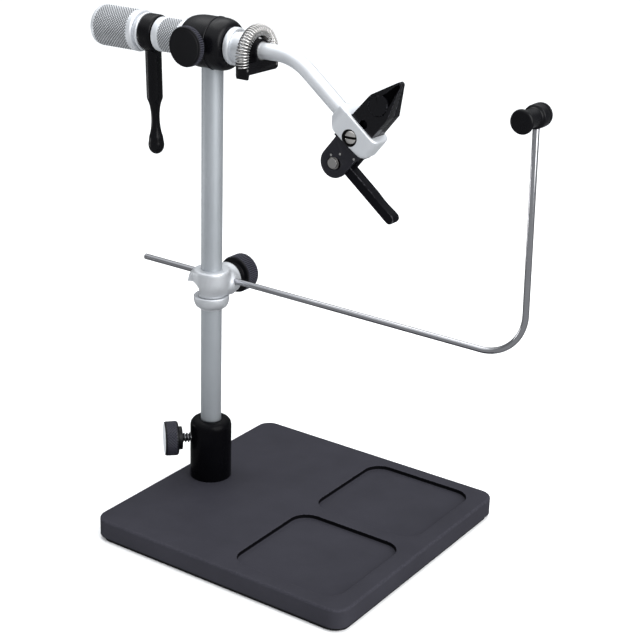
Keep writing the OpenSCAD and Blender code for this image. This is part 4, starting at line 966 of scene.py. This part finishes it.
class VISE_OT_cradle_rod(bpy.types.Operator):
    """Polished rod with its spool"""

    bl_idname = "vise.cradle_rod"
    bl_label = "Cradle rod and spool"

    def execute(self, context):
        rod_r, behind, ahead, bend_r, bend, rise = 1.6, 52, 157.5, 22, 92.2, 91.65
        foot = low("cradle_bracket", 2)
        on_rod = at(0, ROD_Y, foot + ROD_RISE, around("Y", ROD_TILT))
        bm = round_bar(rod_r, behind + ahead, bend_r, math.radians(bend), rise, 32, 0.25)
        set_down(bm, "bent_rod", on_rod @ at(-behind, 0, 0), "cradle_rod", "polished_rod",
                 "Polished steel", "cradle_rod")
        x, z = middle("cradle_spool", 0), middle("cradle_spool", 2)
        y0, y1 = low("cradle_spool", 1), high("cradle_spool", 1)
        mid = y1 - 2.0 - 0.8 - 2.5
        bm = turned([(0, y0), (4.9, y0, 0.7), (5.7, y0 + 0.9, 0.5), (5.7, y0 + 2.1, 0.6),
                     (4.3, y0 + 3.1, 0.7), (4.3, mid - 3.1, 0.5), (5.6, mid - 2.3, 0.35),
                     (5.7, mid + 2.5, 0.3), (5.0, mid + 2.6, 0.1), (5.0, mid + 3.2, 0.1),
                     (5.7, mid + 3.3, 0.3), (5.5, y1 - 0.3, 0.4), (4.6, y1, 0.3), (0, y1)], 72)
        bm = cut(bm, moved(pipe(rod_r + 0.06, 3.4, 15.4, 32), shift(0, 0, mid) @ ALONG_Y))
        set_down(bm, "bobbin_spool", at(x, 0, z, ALONG_Y), "cradle_rod", "black_gloss",
                 "Black gloss", "cradle_spool")
        return {"FINISHED"}


class VISE_OT_head(bpy.types.Operator):
    """Barrel housing in two halves with a bead at the seam"""

    bl_idname = "vise.head"
    bl_label = "Head housing"

    def execute(self, context):
        r, mouth, bush_r, gap, post_from = 13.1, 9.8, 9.0, 0.03, 7.6
        back, seam, front = low("housing_body", 0), 4.0, high("housing_front_cap", 0)
        swell = arc(mouth, back + 10.08, r - mouth, 10.08, -84, 0, 14)
        bm = turned([(6.6, back + 0.6), (bush_r, back, 0.3)] + swell
                    + [(r, seam - 1.1), (r + 0.35, seam - 0.75, 0.15),
                       (r + 0.35, seam - 0.25, 0.15), (r, seam - gap), (bush_r, seam - gap),
                       (bush_r, seam + 4.2), (5.4, seam + 4.2), (5.4, back + 0.6)],
                    128, ring=True)
        post_bore = moved(pipe(POST_BORE, 0, 30, 96), shift(post_from, 0, 0) @ ALONG_X)
        brake_bore = moved(pipe(2.6, 4, 30, 48),
                           shift(SHAFT_Z - BRAKE_Z, 0, 0) @ ALONG_MINUS_Y)
        bm = cut(bm, post_bore, brake_bore)
        set_down(bm, "barrel_rear", ON_SHAFT, "head", "black_metal", "Black anodised",
                 "housing_body")
        swell = arc(mouth, seam + 2.4, r - mouth, front - seam - 2.4, 0, 84, 14)
        bm = turned([(6.6, seam + 4.3), (9.1, seam + 4.3), (9.1, seam + gap),
                     (r - 0.3, seam + gap), (r, seam + 0.35)] + swell
                    + [(9.0, front, 0.3), (6.6, front - 0.6)], 128, ring=True)
        bm = cut(bm, moved(pipe(POST_BORE, post_from, 30, 96), ALONG_X))
        set_down(bm, "barrel_front", ON_SHAFT, "head", "black_metal", "Black anodised",
                 "housing_front_cap")
        return {"FINISHED"}


class VISE_OT_shaft_rings(bpy.types.Operator):
    """Flanges and thin collar on the rotary shaft"""

    bl_idname = "vise.shaft_rings"
    bl_label = "Shaft rings"

    def execute(self, context):
        x0, x1 = low("rear_flange", 0), high("rear_flange", 0)
        bm = turned([(SHAFT_BORE, x0), (9.2, x0, 0.2), (10, x0 + 0.5, 0.3), (10, x1 - 0.4, 0.3),
                     (9.4, x1, 0.1), (SHAFT_BORE, x1)], ring=True)
        set_down(bm, "rear_ring", ON_SHAFT, "shaft", "blasted_metal", "Blasted silver",
                 "rear_flange")
        x0, x1 = low("front_flange", 0), high("front_flange", 0)
        bm = turned([(SHAFT_BORE, x0), (8.9, x0, 0.1), (9.4, x0 + 0.5, 0.2),
                     (9.4, x0 + 2.6, 0.4), (8.7, x0 + 3.3, 0.2), (7.5, x0 + 3.4, 0.25),
                     (7.5, x0 + 4.4, 0.25), (8, x0 + 4.7, 0.2), (8, x1 - 0.6, 0.3),
                     (7.4, x1, 0.1), (SHAFT_BORE, x1)], ring=True)
        bm = cut(bm, moved(pipe(GRUB_HOLE, 4, 12, 32), shift(0, 0, x0 + 4.95) @ around("Y", -90)))
        set_down(bm, "front_ring", ON_SHAFT, "shaft", "blasted_metal", "Blasted silver",
                 "front_flange")
        x0, x1 = low("drum_collar", 0), high("drum_collar", 0)
        bm = turned([(SHAFT_BORE, x0), (9.6, x0, 0.1), (9.9, x0 + 0.35, 0.1),
                     (9.9, x1 - 0.35, 0.1), (9.6, x1, 0.1), (SHAFT_BORE, x1)], ring=True)
        set_down(bm, "thin_ring", ON_SHAFT, "drum", "blasted_metal", "Blasted silver",
                 "drum_collar")
        return {"FINISHED"}


class VISE_OT_knurled_parts(bpy.types.Operator):
    """Locking drum and sleeve with their diamond knurls"""

    bl_idname = "vise.knurled_parts"
    bl_label = "Knurled drum and sleeve"

    def rows(self, r, k0, k1, pitch):
        """Points around a knurl, and the profile of its rows between two heights."""
        steps = round(math.tau * r / pitch) * 2
        count = round((k1 - k0) / pitch) * 2
        return steps, [(r, k0 + (k1 - k0) * i / count) for i in range(count + 1)]

    def execute(self, context):
        sizes = context.scene.vise_sizes
        pitch, depth = sizes.knurl_pitch / MM, sizes.knurl_depth / MM
        r, bore, end_r = 10.7, 4.1, 2.4
        x0 = low("drum_knob", 0)
        k0, k1 = x0 + 2.6, x0 + 25.5
        steps, grid = self.rows(r, k0, k1, pitch)
        valley = r - depth
        bm = turned([(0, x0)] + arc(valley - end_r, x0 + end_r, end_r, end_r, -90, 0, 8)
                    + [(valley, z) for _, z in grid]
                    + [(r, k1 + 0.25, 0.1), (r, k1 + 2.1, 0.3), (r - 0.8, k1 + 2.8, 0.2),
                       (8.6, k1 + 2.8, 0.2), (8.6, k1 + 4.8, 0.2), (bore, k1 + 4.8),
                       (bore, x0 + 2.5), (0, x0 + 2.5)], steps)
        knurl(bm, k0, k1, steps, depth)
        set_down(bm, "locking_drum", ON_SHAFT, "drum", "knurled_metal", "Knurled silver",
                 "drum_knob", sharp=24)
        r = 8.8
        x0, x1 = low("knurled_sleeve", 0), high("knurled_sleeve", 0)
        k0, k1 = x0 + 4, x1 - 0.4
        steps, grid = self.rows(r, k0, k1, pitch)
        bm = turned([(SHAFT_BORE, x0), (r - 0.5, x0, 0.2), (r, x0 + 0.5, 0.2),
                     (r, x0 + 3.6, 0.15)] + [(r - depth, z) for _, z in grid]
                    + [(r - 0.6, x1, 0.1), (SHAFT_BORE, x1)], steps, ring=True)
        knurl(bm, k0, k1, steps, depth)
        bm = cut(bm, moved(pipe(GRUB_HOLE, 4, 12, 32), shift(0, 0, (x0 + x1) / 2) @ ALONG_Y))
        set_down(bm, "knurled_tube", ON_SHAFT, "shaft", "knurled_metal", "Knurled silver",
                 "knurled_sleeve", sharp=24)
        return {"FINISHED"}


class VISE_OT_crank(bpy.types.Operator):
    """Crank hub and its turned handle in one casting"""

    bl_idname = "vise.crank"
    bl_label = "Crank"

    def execute(self, context):
        reach, hub_r, stem_r, waist_r, sweep, bulb_r = 64.2, 9.6, 4.25, 2.25, 5.07, 4.25
        hub_to_stem, hang, grain, rounds = 3.4, 182, 0.32, 8
        x0, x1 = low("crank_handle", 0), high("crank_handle", 0)
        on_shaft = shift(0, 0, SHAFT_Z) @ ALONG_X
        hub = turned([(0, x0), (hub_r, x0, 1.6), (hub_r, x1, 1.6), (0, x1)])
        bulb = reach * 0.078
        stem = turned([(0, 0), (stem_r, 0), (stem_r, 34.3, 0.8), (3.2, 36.6, 1.2)]
                      + arc(waist_r + sweep, reach * 0.7, sweep, reach * 0.22, 205, 135, 10)
                      + arc(0, reach - bulb, bulb_r, bulb + 0.1, -20, 90, 10), 48)
        stem = moved(stem, shift(x0 + hub_to_stem, 0, SHAFT_Z) @ around("X", hang))
        bm = cast(joined(moved(hub, on_shaft), stem), grain, rounds)
        bm = cut(bm, moved(pipe(5.06, x0 - 2, x1 + 2, 96), on_shaft))
        set_down(bm, "turned_crank", at(0, 0, 0), "crank", "black_gloss", "Black gloss",
                 "crank_handle", sharp=45)
        return {"FINISHED"}


class VISE_OT_material_clip(bpy.types.Operator):
    """Clip body with softened edges, and its close-wound spring"""

    bl_idname = "vise.material_clip"
    bl_label = "Material clip and spring"

    def execute(self, context):
        bm = soften(copied("material_clip"), 0.3, 35)
        set_down(bm, "clip_block", at(0, 0, 0), "clip", "black_gloss", "Black gloss",
                 "material_clip")
        sizes = context.scene.vise_sizes
        wire, turns = sizes.spring_wire / MM, sizes.spring_turns
        coil_r, arch_r, drop, steps, spring_x = 3.13, 12.0, 2.6, 14, 27.75
        foot = drop + 1.6
        length = math.pi * arch_r + 2 * foot
        bm = bmesh.new()
        bmesh.ops.create_circle(bm, cap_ends=True, segments=8, radius=wire,
                                matrix=shift(coil_r, 0, 0) @ ALONG_MINUS_Y)
        bmesh.ops.spin(bm, geom=bm.faces[:], cent=(0, 0, 0), axis=(0, 0, 1),
                       dvec=(0, 0, length / turns / steps), angle=math.tau * turns,
                       steps=steps * turns)
        outward(bm)
        # The straight coil is bent into an arch over the clip, with straight feet
        for v in bm.verts:
            along = v.co.z - foot
            bend = max(0.0, min(math.pi, along / arch_r))
            rest = along - bend * arch_r
            radius = arch_r + v.co.x
            v.co = Vector((v.co.y, -radius * math.cos(bend) + rest * math.sin(bend),
                           radius * math.sin(bend) + rest * math.cos(bend)))
        set_down(bm, "grip_spring", at(spring_x, 0, SHAFT_Z - drop), "clip", "spring_steel",
                 "Spring steel", "material_spring", sharp=60)
        return {"FINISHED"}


class VISE_OT_jaw_arm(bpy.types.Operator):
    """Bent arm from the shaft to the jaw block"""

    bl_idname = "vise.jaw_arm"
    bl_label = "Jaw arm"

    def execute(self, context):
        arm_r, bend_x, bend_r, run = 4, 40, 30, 29.4
        x0 = low("jaw_arm", 0)
        bm = round_bar(arm_r, bend_x - x0, bend_r, ARM_ANGLE, run, 48, 0.3)
        set_down(moved(bm, around("X", 180)), "bent_arm", at(x0, 0, SHAFT_Z), "shaft",
                 "blasted_metal", "Blasted silver", "jaw_arm")
        return {"FINISHED"}


class VISE_OT_jaw_block(bpy.types.Operator):
    """Jaw block with its neck, mouth and slotted screw"""

    bl_idname = "vise.jaw_block"
    bl_label = "Jaw block and screw"

    def execute(self, context):
        width, low_z, high_z, neck_x, arm_z = 14.5, -4.4, 8.3, -8.6, 2.5
        screw_x, screw_hole, screw_r, slot_half, grain, rounds = 0.15, 4.25, 3.45, 0.62, 0.3, 44
        body = plate(21.4, width, low_z, high_z, (0, 4.2, 4.2, 0), 12)
        heel = [e for e in body.edges if all(v.co.z < -4 and v.co.x > 5 for v in e.verts)]
        rounded(body, heel, 2.6, 6)
        moved(body, shift(1.25, 0, 0))
        neck = sheet(shift(neck_x, 0, (low_z + high_z) / 2) @ around("Y", -90),
                     high_z - low_z, width)
        rounded(neck, neck.verts[:], 1.2, 6, "VERTICES")
        end = neck.faces[:]
        for reach, rise, wide, tall in ((1.4, 0.06, 0.97, 0.975), (1.5, 0.1, 0.90, 0.92),
                                        (1.6, 0.15, 0.82, 0.85), (1.8, 0.2, 0.78, 0.82)):
            tip, end = pulled(neck, end, (-reach, 0, rise))
            place = sum((v.co for v in tip), Vector()) / len(tip)
            bmesh.ops.scale(neck, vec=(1, wide, tall), verts=tip,
                            space=Matrix.Translation(-place))
        outward(neck)
        on_arm = shift(0, 0, arm_z) @ ALONG_X
        bm = cast(joined(body, neck, moved(pipe(4.35, -17.5, -4), on_arm)), grain, rounds)
        mouth = brick(0.6 - 7.75, 0.6 + 7.75, -5.65, 5.65, 3.8, 14)
        neck_end = brick(-30, -14.6, -8, 8, -6, 12)
        arm_bore = moved(pipe(4.02, -20, -9.3, 96), on_arm)
        draw_bore = moved(pipe(2.1, -6, 10, 48), shift(1.1, 0, 0))
        screw_bore = moved(pipe(screw_hole, 4.2, 12, 64), shift(screw_x, 0, 0) @ ALONG_MINUS_Y)
        bm = cut(bm, mouth, neck_end, arm_bore, draw_bore, screw_bore)
        # The counterbore round the screw takes a painted shade
        mark_hollows(bm, lambda p, normal: p.y < -4.1
                     and math.hypot(p.x - screw_x, p.z) < screw_hole + 0.05)
        set_down(bm, "cast_block", IN_BLOCK, "shaft", "blasted_metal", "Blasted silver",
                 "jaw_block", sharp=40)
        head = turned([(0, 4.4), (screw_r, 4.4), (screw_r, 6.2, 0.3), (2.4, 6.75, 0.6),
                       (0, 7.0)], 64)
        along_slot = Matrix.Rotation(-ARM_ANGLE, 4, "Y")
        across_slot = along_slot.inverted()
        bm = cut(moved(head, ALONG_MINUS_Y),
                 moved(brick(-5, 5, -9, -5.6, -slot_half, slot_half), along_slot))
        # The slot's faces take a painted shade
        mark_hollows(bm, lambda p, normal: abs((across_slot @ p).z) < slot_half + 0.01)
        set_down(bm, "slotted_screw", IN_BLOCK, "shaft", "zinc_steel", "Bright steel",
                 "block_screw")
        return {"FINISHED"}


class VISE_OT_jaws(bpy.types.Operator):
    """The two jaws with their seats, holes and flutes"""

    bl_idname = "vise.jaws"
    bl_label = "Jaws"

    def jaw(self):
        """One jaw on the +Y side of the seam, in the block's frame."""
        half, shoulder, tip = 5.5, 21.2, 37.0
        flute_r, flute_end_r, flute_length = 5.6, 1.15, 15.5
        seat_r, hole_r, hole_x, hole_z = 5.2, 2.2, 0.7, 9.65
        bm = slab([(-7.0, 4.0), (8.2, 4.0), (8.2, shoulder)]
                  + arc(0.6, tip - 1.3, 1.3, 1.3, 20, 160, 10) + [(-6.05, shoulder + 2.0)],
                  0.1, half)
        slope = Vector((0, tip - shoulder, half - 1.5)).normalized()
        cutline = bmesh.ops.bisect_plane(bm, geom=bm.verts[:] + bm.edges[:] + bm.faces[:],
                                         plane_co=(0, half, shoulder), plane_no=slope,
                                         clear_outer=True)["geom_cut"]
        bmesh.ops.holes_fill(bm, edges=only(cutline, bmesh.types.BMEdge))
        outward(bm)
        soften(bm, 0.22, 12, 3)
        lean = math.atan2(half - 1.5, tip - shoulder)
        flute = bmesh.new()
        bmesh.ops.create_cone(flute, cap_ends=True, segments=128, radius1=flute_r,
                              radius2=flute_end_r, depth=flute_length,
                              matrix=shift(0, 0, flute_length / 2))
        on_flute = (shift(1.5, half, shoulder) @ Matrix.Rotation(lean, 4, "X")
                    @ around("Y", -2.6) @ shift(0, 3.6, 0) @ around("X", 11.3))
        on_seat = (shift(0.2, half, shoulder + 0.8) @ Matrix.Rotation(lean / 2, 4, "X")
                   @ ALONG_Y)
        seat = turned([(0, -0.5), (4.6, -0.5), (4.9, -0.8, 0.1), (5.1, -0.8, 0.1),
                       (seat_r, 3), (0, 3)], 96)
        flute = cut(moved(flute, on_flute), moved(pipe(seat_r, -9, 9, 96), on_seat))
        hole = turned([(0, -6), (hole_r, -6), (hole_r, -0.15), (2.5, 0.3), (0, 0.3)], 64)
        relief = brick(-8, 9, -1, 0.32, 3, 8.0)
        draw_bar_slot = brick(-1, 3.2, -1, 1.2, 3, 14.0)
        spring_pocket = moved(pipe(1.7, -1, 2.2, 48), shift(0.6, 0, 15.7) @ ALONG_Y)
        bm = cut(bm, flute, moved(seat, on_seat),
                 moved(hole, shift(hole_x, half, hole_z) @ ALONG_Y),
                 relief, draw_bar_slot, spring_pocket)
        to_flute, to_seat = on_flute.inverted(), on_seat.inverted()

        # Painted shade: full in the flute and the hole, most of it in the seat's groove
        def painted_shading_amount(spot, normal):
            cone, ring = to_flute @ spot, to_seat @ spot
            wall = flute_r - (flute_r - flute_end_r) * cone.z / flute_length
            in_flute = abs(math.hypot(cone.x, cone.y) - wall) < 0.08 and cone.z > 0
            in_groove = -0.85 < ring.z < 1.2 and 4.6 < math.hypot(ring.x, ring.y) < 5.22
            in_hole = math.hypot(spot.x - hole_x, spot.z - hole_z) < hole_r + 0.05
            return 1 if in_flute or in_hole else 0.8 * in_groove

        mark_hollows(bm, painted_shading_amount)
        return bm

    def execute(self, context):
        set_down(self.jaw(), "jaw_far_side", IN_BLOCK, "far_jaw", "jaw_steel", "Jaw black",
                 "far_jaw", sharp=20)
        near = self.jaw()
        bmesh.ops.scale(near, vec=(1, -1, 1), verts=near.verts)
        bmesh.ops.reverse_faces(near, faces=near.faces)
        set_down(near, "jaw_near_side", IN_BLOCK, "near_jaw", "jaw_steel", "Jaw black",
                 "near_jaw", sharp=20)
        return {"FINISHED"}


class VISE_OT_clevis(bpy.types.Operator):
    """Clevis with its cheeks, rivets and cam pin"""

    bl_idname = "vise.clevis"
    bl_label = "Clevis, rivets and pin"

    def execute(self, context):
        flange_depth, end_r, pin_r, step = 2.1, 2.6, 3.1, 1.1
        bm = soften(copied("clevis"), 0.2, 40)
        to_block = (Matrix.Translation(BLOCK_ORIGIN) @ LEAN).inverted()
        top = max((to_block @ v.co).z for v in bm.verts)
        # The flange under the block takes a painted shade
        mark_hollows(bm, lambda p, normal: (to_block @ p).z > top - flange_depth)
        set_down(bm, "riveted_clevis", at(0, 0, 0), "shaft", "black_metal", "Clevis black",
                 "clevis")
        y = high("cam_pin", 1)
        bm = turned([(0, -y), (end_r, -y, 0.2), (end_r, step - y), (pin_r, step - y),
                     (pin_r, y - step), (end_r, y - step), (end_r, y, 0.2), (0, y)], 64)
        set_down(bm, "bright_pin", at(PIN.x, 0, PIN.z, ALONG_Y), "shaft", "zinc_steel",
                 "Satin steel", "cam_pin")
        return {"FINISHED"}


class VISE_OT_cam_lever(bpy.types.Operator):
    """Cam lever with a thumb scoop on its bar"""

    bl_idname = "vise.cam_lever"
    bl_label = "Cam lever"

    def across(self, radius, half):
        """A round tool across the lever, about its pin."""
        return moved(pipe(radius, -half, half, 96), ALONG_Y)

    def execute(self, context):
        w, h, length, low_z = 5.8, 5.0, 41.2, -0.35
        hub_r, slot_r, slot_half, pin_hole, cam_r = 5.35, 6.75, 1.5, 3.15, 4.3
        scoop_r, scoop_x, scoop_depth = 45, 31, 0.55
        bar = moved(plate(length + 2, h, -w / 2, w / 2, (0, 2.45, 2.45, 0), 12), ALONG_MINUS_Y)
        soften(moved(bar, shift(length / 2 - 1, 0, low_z + h / 2)), 0.4, 30, 3)
        scoop = moved(pipe(scoop_r, -9, 9, 256),
                      shift(scoop_x, 0, low_z + h + scoop_r - scoop_depth) @ ALONG_Y)
        bar = cut(bar, scoop, self.across(5.0, w))
        bar = cut(bar, self.across(slot_r, slot_half))
        hub = moved(pipe(hub_r, -w / 2, w / 2, 96, 0.25), ALONG_Y)
        hub = cut(hub, self.across(slot_r, slot_half), self.across(pin_hole, w))
        cam = moved(pipe(cam_r, -slot_half, slot_half, 96), shift(0, 0, -0.5) @ ALONG_Y)
        bm = joined(bar, hub, cut(cam, self.across(pin_hole, w)))
        set_down(bm, "cam_handle", Matrix.Translation(PIN * MM) @ LEAN, "lever", "black_metal",
                 "Lever black", "cam_lever")
        return {"FINISHED"}


OPERATORS = (
    VISE_OT_finishes, VISE_OT_stage, VISE_OT_base_plate, VISE_OT_post_parts, VISE_OT_thumb_screw,
    VISE_OT_grooved_knobs, VISE_OT_cradle_bracket, VISE_OT_cradle_rod, VISE_OT_head,
    VISE_OT_shaft_rings, VISE_OT_knurled_parts, VISE_OT_crank, VISE_OT_material_clip,
    VISE_OT_jaw_arm, VISE_OT_jaw_block, VISE_OT_jaws, VISE_OT_clevis, VISE_OT_cam_lever,
)


class VISE_PT_dressing(bpy.types.Panel):
    """Sizes, colours and the pieces of the vise"""

    bl_idname = "VISE_PT_dressing"
    bl_label = "Fly tying vise"
    bl_space_type = "VIEW_3D"
    bl_region_type = "UI"
    bl_category = "Vise"

    def draw(self, context):
        for group in (context.scene.vise_sizes, context.scene.vise_colours):
            box = self.layout.box()
            for name in group.__annotations__:
                box.prop(group, name)
        for kind in OPERATORS:
            self.layout.operator(kind.bl_idname)


CLASSES = (ViseSizes, ViseColours) + OPERATORS + (VISE_PT_dressing,)


def register():
    for kind in CLASSES:
        bpy.utils.register_class(kind)
    bpy.types.Scene.vise_sizes = bpy.props.PointerProperty(type=ViseSizes)
    bpy.types.Scene.vise_colours = bpy.props.PointerProperty(type=ViseColours)


def unregister():
    del bpy.types.Scene.vise_colours
    del bpy.types.Scene.vise_sizes
    for kind in reversed(CLASSES):
        bpy.utils.unregister_class(kind)


def main():
    """Register the add-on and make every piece."""
    register()
    for kind in OPERATORS:
        group, name = kind.bl_idname.split(".")
        getattr(getattr(bpy.ops, group), name)()


if __name__ == "__main__":
    main()
